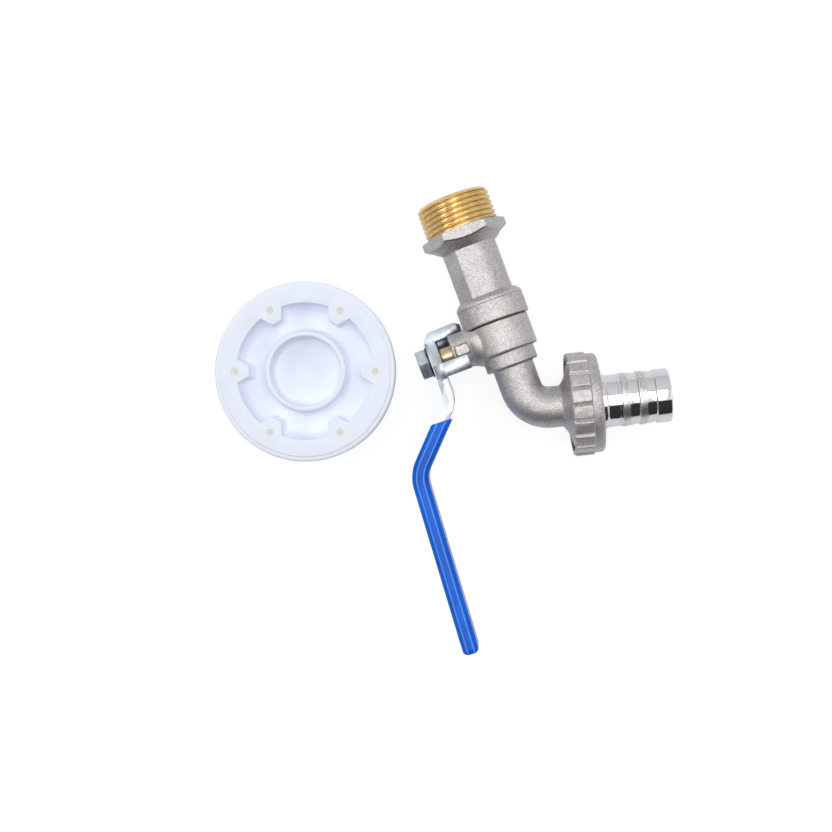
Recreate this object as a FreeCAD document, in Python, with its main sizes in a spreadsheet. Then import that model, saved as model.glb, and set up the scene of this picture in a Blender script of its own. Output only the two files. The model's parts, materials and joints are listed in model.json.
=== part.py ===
import FreeCAD, Part
import math
import os
import re

import Sketcher
from FreeCAD import Placement, Rotation, Vector

# Drum bung tap: a lever ball valve with a union hose tail, lying beside its drum bung.
# Sizes are millimetres. The tap is drawn upright around the ball: +Y upstream, +X spout side, -X stem.

# Whole set: the tap from its inlet to the grip's end, and from the bung's far side to the hose tail's end
TAP_LENGTH = 154.8
SET_WIDTH = 152.8

# Fits
FIT = 0.03
SEAM = 0.5
EDGE_BREAK = 0.4

# Inlet end piece
INLET_THREAD_RADIUS = 13.22
INLET_TIP = 52.1
HEX_TOP = 40.2
HEX_FOOT = 36.1
HEX_ACROSS = 27
HEX_TOP_ANGLE = 8
HEX_FOOT_ANGLE = 28
INLET_LEAD = 1.2
NECK_TOP = 34
NECK_ACROSS = 19.2
COLLAR_SLOPE_TOP = 15.4
COLLAR_SHOULDER = 13.6
COLLAR_SLOPE_RADIUS = 10.7
COLLAR_RADIUS = 12.3
COLLAR_FOOT = 5.6
INLET_MOUTH_RADIUS = 9.5
INLET_MOUTH_FOOT = 44
PORT_RADIUS = 5.6
INLET_WAY_RADIUS = 6.8
INLET_WAY_FOOT = 18
NOSE_FOOT = 9.4
SOCKET_FLOOR = 13.4

# Ball, seats and seal
BALL_RADIUS = 8.75
CAVITY_RADIUS = 8.9
SEAT_OUTER = 7.6
SEAT_FRONT = 5.75
SEAL_THICKNESS = 0.8

# Valve body
SPIGOT_RADIUS = 10.7
BODY_RADIUS = 11.3
BODY_FOOT = 6.1
STEP_RADIUS = 9.5
STEP_FOOT = 11.3
SPOUT_RADIUS = 7.4
ELBOW_CORNER = 27.9
ELBOW_RADIUS = 10
OUTLET_ANGLE = 75.7
POCKET_SHOULDER = 4.6

# Gland boss, stop lug and stem
BOSS_RADIUS = 6.65
BOSS_TOP = 18.6
BOSS_ROOT = 12.5
BOSS_ROOT_RADIUS = 8.2
LUG_LOW = 12.4
LUG_HIGH = 17.5
LUG_HALF = 1.9
LUG_REACH = 9.9
LUG_CORNER = 0.9
STEM_RADIUS = 3.3
STEM_COLLAR_RADIUS = 5
STEM_COLLAR_LOW = 8.98
STEM_COLLAR_HIGH = 10.6
WASHER_THICKNESS = 1.2
TANG_LOW = 6.7
TANG_HALF = 1.8
SLOT_FLOOR = 6.5
RING_GROOVE_RADIUS = 2.3
RING_GROOVE_LOW = 12.9
RING_GROOVE_STEP = 2.7
RING_GROOVE_WIDTH = 1.2
STEM_SHOULDER = 22.95
STUD_RADIUS = 3
STUD_FLAT = 2.5
STUD_TOP = 30.9

# Lever
LEVER_THICKNESS = 3.9
LEVER_MID = 25.05
LEVER_BEND = 4.4
HEAD_HALF = 7.6
ARM_HALF = 6.5
TAB_GAP = 6.75
TAB_REACH = 13.9
TAB_STOP = 2.1
TAB_STOP_END = 7.1
TAB_BACK_NEAR = 3.5
TAB_BACK_FAR = 6.6
TAB_END_NEAR = 2.4
TAB_END_FAR = 9.3
ARM_STRAIGHT = 11.5
ARM_ANGLE = 44
ARM_BEND_RADIUS = 10
ARM_SLANT = 20.1
GRIP_ANGLE = 3.6
GRIP_BEND_RADIUS = 12
GRIP_CORNER = 5

# Sleeve
SLEEVE_WALL = 1.05
SLEEVE_START = 3
SLEEVE_TIP = 1.6
SLEEVE_ROUND = 2.2
SLEEVE_END_ROUND = 2

# Lever nut and washer
NUT_ACROSS = 10
NUT_HEIGHT = 3.7
LOCK_WASHER_RADIUS = 5.5
LOCK_WASHER_THICKNESS = 0.7

# Union, along the outlet axis from the elbow corner
FLARE_START = 12.6
FLARE_END = 15.6
FLARE_RADIUS = 16.4
UNION_THREAD_RADIUS = 16.62
UNION_FACE = 21.4
UNION_WASHER_THICKNESS = 1.5
UNION_WASHER_INNER = 8.5
UNION_WASHER_OUTER = 16.4
TAIL_COLLAR_RADIUS = 16.3
TAIL_COLLAR_THICKNESS = 1.7
UNION_NUT_START = 15.8
UNION_BAND_END = 23
UNION_NUT_END = 26.3
UNION_RING_RADIUS = 17.8
UNION_BAND_RADIUS = 18.05
UNION_PAD_RADIUS = 18.5
UNION_PAD_HALF = 2.45
UNION_PADS = 20

# Hose tail
TAIL_NECK_RADIUS = 9.8
TAIL_WAIST_RADIUS = 9.2
TAIL_FIRST_RIDGE = 33.1
TAIL_RIDGE_PITCH = 6.3
TAIL_CREST = 9.6
TAIL_VALLEY = 9
TAIL_LAND = 0.8
TAIL_END = 50.8
TAIL_BORE = 6.9

# Drum bung, standing on its thread end
BUNG_HEIGHT = 26
FLANGE_RADIUS = 31.8
FLANGE_THICKNESS = 5.5
RIM_LEDGE = 0.35
RIM_LEDGE_RADIUS = 30.2
BUNG_THREAD_RADIUS = 28
BUNG_THREAD_TOP = 17.6
GASKET_SEAT_RADIUS = 27.2
RECESS_RADIUS = 24
RECESS_DEPTH = 10
RECESS_ROUND = 3
FLOOR_THICKNESS = 2.2
SKIRT_INNER = 25
SOCKET_RING_RADIUS = 15
SOCKET_CREST_RADIUS = 13.6
SOCKET_DROP = 1
SOCKET_RADIUS = 12.06
SOCKET_FOOT = 8
MEMBRANE_TOP = 16.2
MEMBRANE_THICKNESS = 1.2
LUG_ROOT_RADIUS = 25.2
LUG_ROOT_HALF = 5.3
LUG_TIP_RADIUS = 19.6
LUG_TIP_HALF = 1.9
LUG_HOLE_RADIUS = 1.35
LUG_HOLE_RING = 24.7
LUG_HOLE_DEPTH = 7
GASKET_INNER = 27.3
GASKET_OUTER = 31
GASKET_THICKNESS = 2.4

# Where the tap lies on the table, seen from the bung, and how far the bung's star is turned
TAIL_SPAN = 51.5
TAP_Y = -12.1
BUNG_TURN = 20.3

NAMES = [name.lower() for name, value in list(globals().items()) if name.isupper() and isinstance(value, (int, float))]
DOC = FreeCAD.newDocument("DrumBungTap")
SHEET = DOC.addObject("Spreadsheet::Sheet", "Sizes")
TAP_PARTS = []


def fill_sheet():
    """Write every named size into the sheet, under its own name in small letters."""
    for row, name in enumerate(NAMES, 1):
        SHEET.set("A%d" % row, name)
        SHEET.set("B%d" % row, str(globals()[name.upper()]))
        SHEET.setAlias("B%d" % row, name)
    DOC.recompute()


def bound(text):
    """Point every size name in an expression at the sheet."""
    return re.sub(r"[a-z][a-z_0-9]*", lambda m: "Sizes." + m.group() if m.group() in NAMES else m.group(), text)


def val(text):
    """The present value of an expression in size names."""
    return float(SHEET.evalExpression(bound(text)))


def plane(body, role):
    return next(item for item in body.Origin.OriginFeatures if item.Role == role)


def new_body(label, tap=True):
    body = DOC.addObject("PartDesign::Body", label)
    body.Label = label
    if tap:
        TAP_PARTS.append(body)
    return body


def blank_sketch(body, name, role, lift="0", turn=None, shift=None, spin=(0, 0, 1)):
    """A sketch on an origin plane, lifted along its normal and, where asked, moved and turned about spin."""
    sketch = body.newObject("Sketcher::SketchObject", name)
    sketch.AttachmentSupport = (plane(body, role), [""])
    sketch.MapMode = "FlatFace"
    angle = val(turn) if turn else 0
    sketch.AttachmentOffset = Placement(Vector(0, 0, val(lift)), Rotation(Vector(*spin), angle))
    sketch.setExpression("AttachmentOffset.Base.z", bound(lift))
    if shift:
        sketch.setExpression("AttachmentOffset.Base.x", bound(shift[0]))
        sketch.setExpression("AttachmentOffset.Base.y", bound(shift[1]))
    if turn:
        sketch.setExpression("AttachmentOffset.Rotation.Angle", bound(turn))
    return sketch


def bind(sketch, kind, where, text):
    """Add a dimension to a sketch and tie it to the sheet."""
    index = sketch.addConstraint(Sketcher.Constraint(kind, *where, val(text)))
    sketch.setExpression("Constraints[%d]" % index, bound(text))


def arc_between(start, end, radius, side):
    """The short arc from start to end; side 1 has its centre on the left of the way, -1 on the right."""
    chord = end - start
    middle = (start + end) * 0.5
    reach = math.sqrt(max(radius ** 2 - (chord.Length / 2) ** 2, 0))
    left = Vector(-chord.y, chord.x, 0).normalize()
    centre = middle + left * reach * side
    first, last = (start, end) if side > 0 else (end, start)
    low = math.atan2(first.y - centre.y, first.x - centre.x)
    high = math.atan2(last.y - centre.y, last.x - centre.x)
    return Part.ArcOfCircle(Part.Circle(centre, Vector(0, 0, 1), radius), low, high)


def draw(sketch, points, closed=True):
    """Draw an outline. A point is (x, y), or (x, y, radius, side) where an arc leaves it."""
    spots = [Vector(val(point[0]), val(point[1]), 0) for point in points]
    count = len(points) if closed else len(points) - 1
    ends = []
    for index in range(count):
        start, end = spots[index], spots[(index + 1) % len(points)]
        if len(points[index]) == 4:
            radius, side = points[index][2:]
            sketch.addGeometry(arc_between(start, end, val(radius), side), False)
            ends.append((1, 2) if side > 0 else (2, 1))
        else:
            sketch.addGeometry(Part.LineSegment(start, end), False)
            ends.append((1, 2))
    for index in range(count if closed else count - 1):
        follower = (index + 1) % count
        sketch.addConstraint(Sketcher.Constraint("Coincident", index, ends[index][1], follower, ends[follower][0]))
    for index, point in enumerate(points):
        where = (index, ends[index][0]) if index < count else (index - 1, ends[index - 1][1])
        bind(sketch, "DistanceX", (-1, 1) + where, point[0])
        bind(sketch, "DistanceY", (-1, 1) + where, point[1])
        if len(point) == 4:
            bind(sketch, "Radius", (index,), point[2])
    return sketch


def circle(sketch, x, y, radius):
    sketch.addGeometry(Part.Circle(Vector(val(x), val(y), 0), Vector(0, 0, 1), val(radius)), False)
    last = sketch.GeometryCount - 1
    bind(sketch, "DistanceX", (-1, 1, last, 3), x)
    bind(sketch, "DistanceY", (-1, 1, last, 3), y)
    bind(sketch, "Radius", (last,), radius)
    return sketch


def polygon(sketch, across, sides, first_corner):
    """A regular outline given by its size across flats; first_corner is in degrees."""
    corner = "(%s) / 2 / cos(180 / %d)" % (across, sides)
    spots = []
    for index in range(sides):
        angle = first_corner + index * 360.0 / sides
        spots.append(("%s * cos(%g)" % (corner, angle), "%s * sin(%g)" % (corner, angle)))
    return draw(sketch, spots)


def turned(body, name, sketch, axis="V_Axis", cut=False, angle=360):
    kind = "PartDesign::Groove" if cut else "PartDesign::Revolution"
    feature = body.newObject(kind, name)
    feature.Profile = sketch
    feature.ReferenceAxis = (sketch, [axis])
    feature.Angle = angle
    return settled(body, feature)


def raised(body, name, sketch, length, both=False, back=False, cut=False):
    feature = body.newObject("PartDesign::Pocket" if cut else "PartDesign::Pad", name)
    feature.Profile = sketch
    feature.Length = val(length)
    feature.setExpression("Length", bound(length))
    feature.Midplane = both
    feature.Reversed = back
    return settled(body, feature)


def swept(body, name, profile, path, cut=False):
    feature = body.newObject("PartDesign::SubtractivePipe" if cut else "PartDesign::AdditivePipe", name)
    feature.Profile = profile
    feature.Spine = (path, ["Edge%d" % (index + 1) for index in range(path.GeometryCount)])
    return settled(body, feature)


def repeated(body, name, features, sketch, count):
    """A ring of copies about the sketch plane's normal."""
    feature = body.newObject("PartDesign::PolarPattern", name)
    feature.Originals = features
    feature.Axis = (sketch, ["N_Axis"])
    feature.Angle = 360
    feature.Occurrences = count
    body.Tip = feature
    return settled(body, feature)


def softened(body, name, edges, radius, chamfer=False):
    """A fillet or chamfer on the edges of the present tip that a test picks."""
    tip = body.Tip
    chosen = ["Edge%d" % (index + 1) for index, edge in enumerate(tip.Shape.Edges) if edges(edge)]
    feature = body.newObject("PartDesign::Chamfer" if chamfer else "PartDesign::Fillet", name)
    feature.Base = (tip, chosen)
    prop = "Size" if chamfer else "Radius"
    setattr(feature, prop, val(radius))
    feature.setExpression(prop, bound(radius))
    return settled(body, feature)


def settled(body, feature):
    """Recompute, and stop where a feature failed or changed nothing."""
    DOC.recompute()
    if "Invalid" in feature.State or "Error" in feature.State or not feature.Shape.isValid():
        raise RuntimeError("%s in %s did not build" % (feature.Name, body.Label))
    return feature


def inlet_end():
    """Inlet end piece: drum thread, hexagon, eight-sided neck and the collar that screws over the body."""
    body = new_body("inlet_end")
    blank = draw(blank_sketch(body, "inlet_profile", "XY_Plane"), [
        ("port_radius", "nose_foot"),
        ("cavity_radius - 2 * fit", "nose_foot"),
        ("cavity_radius - 2 * fit", "socket_floor"),
        ("spigot_radius + fit", "socket_floor"),
        ("spigot_radius + fit", "collar_foot"),
        ("collar_radius - edge_break", "collar_foot"),
        ("collar_radius", "collar_foot + edge_break"),
        ("collar_radius", "collar_shoulder"),
        ("collar_slope_radius", "collar_slope_top"),
        ("neck_across / 2 - 0.3", "collar_slope_top"),
        ("neck_across / 2 - 0.3", "neck_top"),
        ("neck_across / 2 + 0.3", "neck_top"),
        ("hex_across / 2 - 0.4", "hex_foot"),
        ("hex_across / 2 - 0.4", "hex_top"),
        ("inlet_thread_radius", "hex_top"),
        ("inlet_thread_radius", "inlet_tip - inlet_lead"),
        ("inlet_thread_radius - inlet_lead", "inlet_tip"),
        ("inlet_mouth_radius", "inlet_tip"),
        ("inlet_mouth_radius", "inlet_mouth_foot"),
        ("inlet_way_radius", "inlet_mouth_foot - 2"),
        ("inlet_way_radius", "inlet_way_foot"),
        ("port_radius", "inlet_way_foot - 2"),
    ])
    turned(body, "inlet_turning", blank)
    neck = blank_sketch(body, "neck_outline", "XZ_Plane", "-neck_top - 1")
    polygon(neck, "neck_across", 8, 22.5)
    circle(neck, "0", "0", "inlet_way_radius + 1.2")
    raised(body, "neck_flats", neck, "neck_top + 1 - collar_slope_top")
    hexagon = blank_sketch(body, "hex_outline", "XZ_Plane", "-hex_top")
    polygon(hexagon, "hex_across", 6, 0)
    circle(hexagon, "0", "0", "inlet_mouth_radius + 1.2")
    raised(body, "hex_flats", hexagon, "hex_top - hex_foot")
    corner = "hex_across / 2 / cos(30)"
    for slope, edge, sign in (("hex_top_angle", "hex_top", "-"), ("hex_foot_angle", "hex_foot", "+")):
        fall = "%s %s (%s + 1.2 - hex_across / 2) * tan(%s)" % (edge, sign, corner, slope)
        cutter = draw(blank_sketch(body, edge + "_chamfer_line", "XY_Plane"), [
            ("hex_across / 2 - 0.2", edge),
            (corner + " + 1", edge),
            (corner + " + 1", fall),
        ])
        turned(body, edge + "_chamfer", cutter, cut=True)


def valve_body():
    """Cast body: ball chamber, gland boss, stop lug, bent spout and the threaded union flare."""
    body = new_body("valve_body")
    chamber = draw(blank_sketch(body, "chamber_profile", "XY_Plane"), [
        ("0", "socket_floor - seal_thickness"),
        ("spigot_radius", "socket_floor - seal_thickness"),
        ("spigot_radius", "collar_foot - seam"),
        ("body_radius - edge_break / 2", "collar_foot - seam"),
        ("body_radius", "collar_foot - seam - edge_break / 2"),
        ("body_radius", "-body_foot + 1", "1", -1),
        ("body_radius - 1", "-body_foot"),
        ("step_radius", "-body_foot"),
        ("step_radius", "-step_foot + edge_break"),
        ("step_radius - edge_break", "-step_foot"),
        ("0", "-step_foot"),
    ])
    turned(body, "chamber", chamber)
    boss = draw(blank_sketch(body, "boss_profile", "XY_Plane"), [
        ("0", "0"),
        ("-boss_top", "0"),
        ("-boss_top", "boss_radius - edge_break"),
        ("-boss_top + edge_break", "boss_radius"),
        ("-boss_root", "boss_radius", "3", -1),
        ("-boss_root + 2.2", "boss_root_radius"),
        ("-boss_root + 3.5", "boss_root_radius"),
        ("0", "boss_root_radius"),
    ])
    turned(body, "gland_boss", boss, "H_Axis")
    lug = draw(blank_sketch(body, "lug_outline", "XY_Plane"), [
        ("-lug_high + lug_corner", "-lug_half"),
        ("-lug_low - lug_corner", "-lug_half", "lug_corner", 1),
        ("-lug_low", "-lug_half + lug_corner"),
        ("-lug_low", "lug_half - lug_corner", "lug_corner", 1),
        ("-lug_low - lug_corner", "lug_half"),
        ("-lug_high + lug_corner", "lug_half", "lug_corner", 1),
        ("-lug_high", "lug_half - lug_corner"),
        ("-lug_high", "-lug_half + lug_corner", "lug_corner", 1),
    ])
    raised(body, "stop_lug", lug, "lug_reach")
    relief = draw(blank_sketch(body, "relief_profile", "XY_Plane"), [
        ("spigot_radius", "collar_foot - seam"),
        ("collar_radius + 5 * fit", "collar_foot - seam"),
        ("collar_radius + 5 * fit", "boss_root_radius + 2"),
        ("spigot_radius", "boss_root_radius + 2"),
    ])
    turned(body, "collar_relief", relief, cut=True)
    spout_path = elbow_path(body, "spout_path", "step_foot - 2", "flare_start + 1")
    spout = blank_sketch(body, "spout_circle", "XZ_Plane", "step_foot - 2")
    circle(spout, "0", "0", "spout_radius")
    swept(body, "spout", spout, spout_path)
    flare = blank_sketch(body, "flare_profile", "XY_Plane", turn="outlet_angle - 90", shift=("0", "-elbow_corner"))
    draw(flare, [
        ("flare_start - 2", "0"),
        ("flare_start - 2", "spout_radius - 0.2"),
        ("flare_start", "spout_radius + 0.4"),
        ("flare_end", "flare_radius"),
        ("flare_end + 0.4", "union_thread_radius"),
        ("union_face - 0.6", "union_thread_radius"),
        ("union_face", "union_thread_radius - 0.8"),
        ("union_face", "0"),
    ])
    turned(body, "union_flare", flare, "H_Axis")
    way_path = elbow_path(body, "way_path", "nose_foot - 1", "union_face + 1")
    way = blank_sketch(body, "way_circle", "XZ_Plane", "nose_foot - 1")
    circle(way, "0", "0", "port_radius")
    swept(body, "waterway", way, way_path, cut=True)
    cavity = draw(blank_sketch(body, "cavity_profile", "XY_Plane"), [
        ("0", "socket_floor + 1"),
        ("cavity_radius", "socket_floor + 1"),
        ("cavity_radius", "-pocket_shoulder"),
        ("seat_outer + fit", "-pocket_shoulder"),
        ("seat_outer + fit", "-nose_foot"),
        ("0", "-nose_foot"),
    ])
    turned(body, "ball_cavity", cavity, cut=True)
    gland = draw(blank_sketch(body, "gland_profile", "XY_Plane"), [
        ("0", "0"),
        ("-boss_top - 1", "0"),
        ("-boss_top - 1", "stem_radius + fit"),
        ("-stem_collar_high - washer_thickness", "stem_radius + fit"),
        ("-stem_collar_high - washer_thickness", "stem_collar_radius + fit"),
        ("0", "stem_collar_radius + fit"),
    ])
    turned(body, "gland_bore", gland, "H_Axis", cut=True)


def elbow_path(body, name, start, end):
    """The spout's centre line: down, round the bend and out along the outlet axis."""
    path = blank_sketch(body, name, "XY_Plane")
    tangent = "elbow_radius * tan(outlet_angle / 2)"
    return draw(path, [
        ("0", "-(%s)" % start),
        ("0", "-elbow_corner + " + tangent, "elbow_radius", 1),
        (tangent + " * sin(outlet_angle)", "-elbow_corner - %s * cos(outlet_angle)" % tangent),
        ("(%s) * sin(outlet_angle)" % end, "-elbow_corner - (%s) * cos(outlet_angle)" % end),
    ], closed=False)


def body_seal():
    """Flat ring squeezed between the body's spigot and the end piece."""
    body = new_body("body_seal")
    ring = draw(blank_sketch(body, "seal_profile", "XY_Plane"), [
        ("cavity_radius", "socket_floor - seal_thickness"),
        ("spigot_radius - fit", "socket_floor - seal_thickness"),
        ("spigot_radius - fit", "socket_floor"),
        ("cavity_radius", "socket_floor"),
    ])
    turned(body, "seal_ring", ring)


def ball():
    """Ported ball with the drive slot for the stem."""
    body = new_body("ball")
    half = "sqrt(ball_radius ^ 2 - port_radius ^ 2)"
    section = draw(blank_sketch(body, "ball_profile", "XY_Plane"), [
        ("port_radius", "-" + half, "ball_radius", 1),
        ("port_radius", half),
    ])
    turned(body, "ported_ball", section)
    slot = draw(blank_sketch(body, "slot_outline", "XY_Plane"), [
        ("-ball_radius - 1", "-ball_radius"),
        ("-slot_floor", "-ball_radius"),
        ("-slot_floor", "ball_radius"),
        ("-ball_radius - 1", "ball_radius"),
    ])
    raised(body, "drive_slot", slot, "2 * tang_half + 4 * fit", both=True, cut=True)


def seat(label, sign, outer):
    """Soft seat ring, hollowed to the ball; sign sets the side of the ball."""
    body = new_body(label)
    inner = "port_radius + 0.2"
    front = "sqrt((ball_radius + fit) ^ 2 - (%s) ^ 2)" % inner
    lip = "sqrt((ball_radius + fit) ^ 2 - seat_front ^ 2)"
    ring = draw(blank_sketch(body, label + "_profile", "XY_Plane"), [
        (inner, "%s(%s)" % (sign, front), "ball_radius + fit", -1 if not sign else 1),
        (lip, sign + "seat_front"),
        (outer, sign + "seat_front"),
        (outer, sign + "nose_foot"),
        (inner, sign + "nose_foot"),
    ])
    turned(body, label + "_ring", ring)


def stem():
    """Stem with its inner collar, ring grooves, flatted stud and the tang that turns the ball."""
    body = new_body("stem")
    second = "ring_groove_low + ring_groove_step"
    profile = draw(blank_sketch(body, "stem_profile", "XY_Plane"), [
        ("-tang_low", "0"),
        ("-tang_low", "stem_collar_radius - 1"),
        ("-stem_collar_low", "stem_collar_radius - 1"),
        ("-stem_collar_low", "stem_collar_radius"),
        ("-stem_collar_high", "stem_collar_radius"),
        ("-stem_collar_high", "stem_radius"),
        ("-ring_groove_low", "stem_radius"),
        ("-ring_groove_low", "ring_groove_radius"),
        ("-ring_groove_low - ring_groove_width", "ring_groove_radius"),
        ("-ring_groove_low - ring_groove_width", "stem_radius"),
        ("-(%s)" % second, "stem_radius"),
        ("-(%s)" % second, "ring_groove_radius"),
        ("-(%s) - ring_groove_width" % second, "ring_groove_radius"),
        ("-(%s) - ring_groove_width" % second, "stem_radius"),
        ("-stem_shoulder + edge_break / 2", "stem_radius"),
        ("-stem_shoulder", "stem_radius - edge_break / 2"),
        ("-stem_shoulder", "stud_radius"),
        ("-stud_top + 0.6", "stud_radius"),
        ("-stud_top", "stud_radius - 0.6"),
        ("-stud_top", "0"),
    ])
    turned(body, "stem_turning", profile, "H_Axis")
    for side, sign in (("near", ""), ("far", "-")):
        outline = draw(blank_sketch(body, "tang_%s_outline" % side, "XZ_Plane", "stem_collar_radius"), [
            ("-tang_low + 1", sign + "tang_half"),
            ("-stem_collar_low", sign + "tang_half"),
            ("-stem_collar_low", sign + "(stem_collar_radius + 1)"),
            ("-tang_low + 1", sign + "(stem_collar_radius + 1)"),
        ])
        raised(body, "tang_%s_flat" % side, outline, "2 * stem_collar_radius", cut=True)
        outline = draw(blank_sketch(body, "stud_%s_outline" % side, "XZ_Plane", "stem_collar_radius"), [
            ("-stem_shoulder", sign + "stud_flat"),
            ("-lever_mid - lever_thickness / 2", sign + "stud_flat"),
            ("-lever_mid - lever_thickness / 2", sign + "(stud_radius + 1)"),
            ("-stem_shoulder", sign + "(stud_radius + 1)"),
        ])
        raised(body, "stud_%s_flat" % side, outline, "2 * stem_collar_radius", cut=True)


def stem_washer():
    """Soft thrust washer between the stem's collar and the gland."""
    body = new_body("stem_washer")
    ring = draw(blank_sketch(body, "washer_profile", "XY_Plane"), [
        ("-stem_collar_high", "stem_radius + fit"),
        ("-stem_collar_high - washer_thickness", "stem_radius + fit"),
        ("-stem_collar_high - washer_thickness", "stem_collar_radius"),
        ("-stem_collar_high", "stem_collar_radius"),
    ])
    turned(body, "washer_ring", ring, "H_Axis")


def stem_ring(label, step):
    """Rubber ring in one of the stem's grooves."""
    body = new_body(label)
    along = "-ring_groove_low - ring_groove_width / 2 - %d * ring_groove_step" % step
    radius = "(stem_radius + fit - ring_groove_radius) / 2 - fit / 4"
    section = blank_sketch(body, label + "_section", "XY_Plane")
    circle(section, along, "ring_groove_radius + " + radius, radius)
    turned(body, label + "_torus", section, "H_Axis")


def lever_route(reach):
    """Centre line of the lever: flat head, slanted arm and grip; reach lengthens its end."""
    bend, round_one = "arm_angle", "arm_bend_radius"
    ax, ay = "-lever_mid", "-arm_straight"
    bx = ax + " - %s * (1 - cos(%s))" % (round_one, bend)
    by = ay + " - %s * sin(%s)" % (round_one, bend)
    cx = bx + " - arm_slant * sin(arm_angle)"
    cy = by + " - arm_slant * cos(arm_angle)"
    dx = cx + " - grip_bend_radius * (cos(grip_angle) - cos(arm_angle))"
    dy = cy + " - grip_bend_radius * (sin(arm_angle) - sin(grip_angle))"
    ey = "inlet_tip - tap_length + sleeve_tip - (%s) * cos(grip_angle)" % reach
    ex = dx + " - (%s - (%s)) * tan(grip_angle)" % (dy, ey)
    return (ax, ay), (bx, by), (cx, cy), (dx, dy), (ex, ey)


def lever():
    """Pressed steel lever: flat head with three folded tabs and a cranked arm."""
    body = new_body("lever")
    start = "tab_gap + lever_thickness - lever_bend"
    path, strip = strip_outline(body, "strip", "head_half")
    swept(body, "lever_strip", strip, path)
    trim_strip(body)
    outer = "lever_mid + lever_thickness / 2"
    inner = "lever_mid - lever_thickness / 2"
    small = "(lever_bend - lever_thickness)"
    end_tab = draw(blank_sketch(body, "end_tab_profile", "XY_Plane"), [
        ("-(%s)" % outer, start, "lever_bend", -1),
        ("-(%s) + lever_bend" % outer, "tab_gap + lever_thickness"),
        ("-tab_reach - 0.8", "tab_gap + lever_thickness"),
        ("-tab_reach", "tab_gap + lever_thickness - 0.8"),
        ("-tab_reach", "tab_gap"),
        ("-(%s) + %s" % (inner, small), "tab_gap", small, 1),
        ("-(%s)" % inner, "tab_gap - " + small),
        ("-(%s)" % inner, start + " - 2"),
        ("-(%s)" % outer, start + " - 2"),
    ])
    end_tab.setExpression("AttachmentOffset.Base.z", bound("-tab_end_far"))
    raised(body, "end_tab", end_tab, "tab_end_far - tab_end_near")
    side_tab(body, "stop_tab", "tab_stop", "tab_stop_end", 1)
    side_tab(body, "back_tab", "-tab_back_far", "-tab_back_near", -1)
    hole = draw(blank_sketch(body, "stud_hole_outline", "YZ_Plane", "-lever_mid - lever_thickness"), [
        ("-sqrt((stud_radius + fit) ^ 2 - (stud_flat + fit) ^ 2)", "-stud_flat - fit"),
        ("sqrt((stud_radius + fit) ^ 2 - (stud_flat + fit) ^ 2)", "-stud_flat - fit", "stud_radius + fit", 1),
        ("sqrt((stud_radius + fit) ^ 2 - (stud_flat + fit) ^ 2)", "stud_flat + fit"),
        ("-sqrt((stud_radius + fit) ^ 2 - (stud_flat + fit) ^ 2)", "stud_flat + fit", "stud_radius + fit", 1),
    ])
    raised(body, "stud_hole", hole, "2 * lever_thickness", back=True, cut=True)


def trim_strip(body):
    """Narrow the strip behind the head and round its end, on both sides."""
    a, b, c, d, e = lever_route("0")
    for side, sign, turn in (("near", "", 1), ("far", "-", -1)):
        outline = draw(blank_sketch(body, "trim_%s_outline" % side, "YZ_Plane"), [
            ("-tab_stop_end - 1", sign + "(head_half + 2)"),
            ("-tab_stop_end - 1", sign + "head_half"),
            ("-arm_straight - 8", sign + "arm_half"),
            ("(%s) + grip_corner" % e[1], sign + "arm_half", "grip_corner", turn),
            (e[1], sign + "(arm_half - grip_corner)"),
            ("(%s) - 3" % e[1], sign + "(arm_half - grip_corner)"),
            ("(%s) - 3" % e[1], sign + "(head_half + 2)"),
        ])
        raised(body, "trim_" + side, outline, "6 * lever_mid", back=False, both=True, cut=True)


def side_tab(body, name, near, far, turn):
    """A tab folded down from a long side of the head; turn 1 is the camera side."""
    outer = "lever_mid + lever_thickness / 2"
    inner = "lever_mid - lever_thickness / 2"
    small = "(lever_bend - lever_thickness)"
    sign = "" if turn > 0 else "-"
    sketch = blank_sketch(body, name + "_profile", "XZ_Plane", near)
    draw(sketch, [
        ("-(%s)" % outer, sign + "(head_half - 3)"),
        ("-(%s)" % outer, sign + "(tab_gap + lever_thickness - lever_bend)", "lever_bend", -turn),
        ("-(%s) + lever_bend" % outer, sign + "(tab_gap + lever_thickness)"),
        ("-tab_reach", sign + "(tab_gap + lever_thickness)"),
        ("-tab_reach", sign + "tab_gap"),
        ("-(%s) + %s" % (inner, small), sign + "tab_gap", small, turn),
        ("-(%s)" % inner, sign + "(tab_gap - %s)" % small),
        ("-(%s)" % inner, sign + "(head_half - 3)"),
    ])
    raised(body, name, sketch, "(%s) - (%s)" % (far, near))


def lever_sleeve():
    """Dipped soft sleeve on the grip; its edge is level with the grip, as the dip leaves it."""
    body = new_body("lever_sleeve")
    a, b, c, d, e = lever_route("sleeve_tip")
    path = draw(blank_sketch(body, "sleeve_path", "XY_Plane"), [
        e,
        (d[0], d[1], "grip_bend_radius", -1),
        c,
        b,
    ], closed=False)
    section = blank_sketch(body, "sleeve_section", "XZ_Plane", "-(%s)" % e[1], "-grip_angle", (e[0], "0"), (0, 1, 0))
    draw(section, rounded_box("lever_thickness / 2 + sleeve_wall", "arm_half + sleeve_wall", "sleeve_round"))
    swept(body, "sleeve", section, path)
    softened(body, "sleeve_end", lambda edge: edge.BoundBox.YMax < val(e[1]) + 0.3, "sleeve_end_round")
    core_path, core = strip_outline(body, "core", "arm_half")
    swept(body, "sleeve_hollow", core, core_path, cut=True)
    edge = draw(blank_sketch(body, "edge_outline", "XY_Plane", turn="-grip_angle", shift=(b[0], b[1])), [
        ("-4 * lever_mid", "-sleeve_start"),
        ("4 * lever_mid", "-sleeve_start"),
        ("4 * lever_mid", "lever_mid"),
        ("-4 * lever_mid", "lever_mid"),
    ])
    raised(body, "dip_edge", edge, "8 * arm_half", both=True, cut=True)


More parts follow.
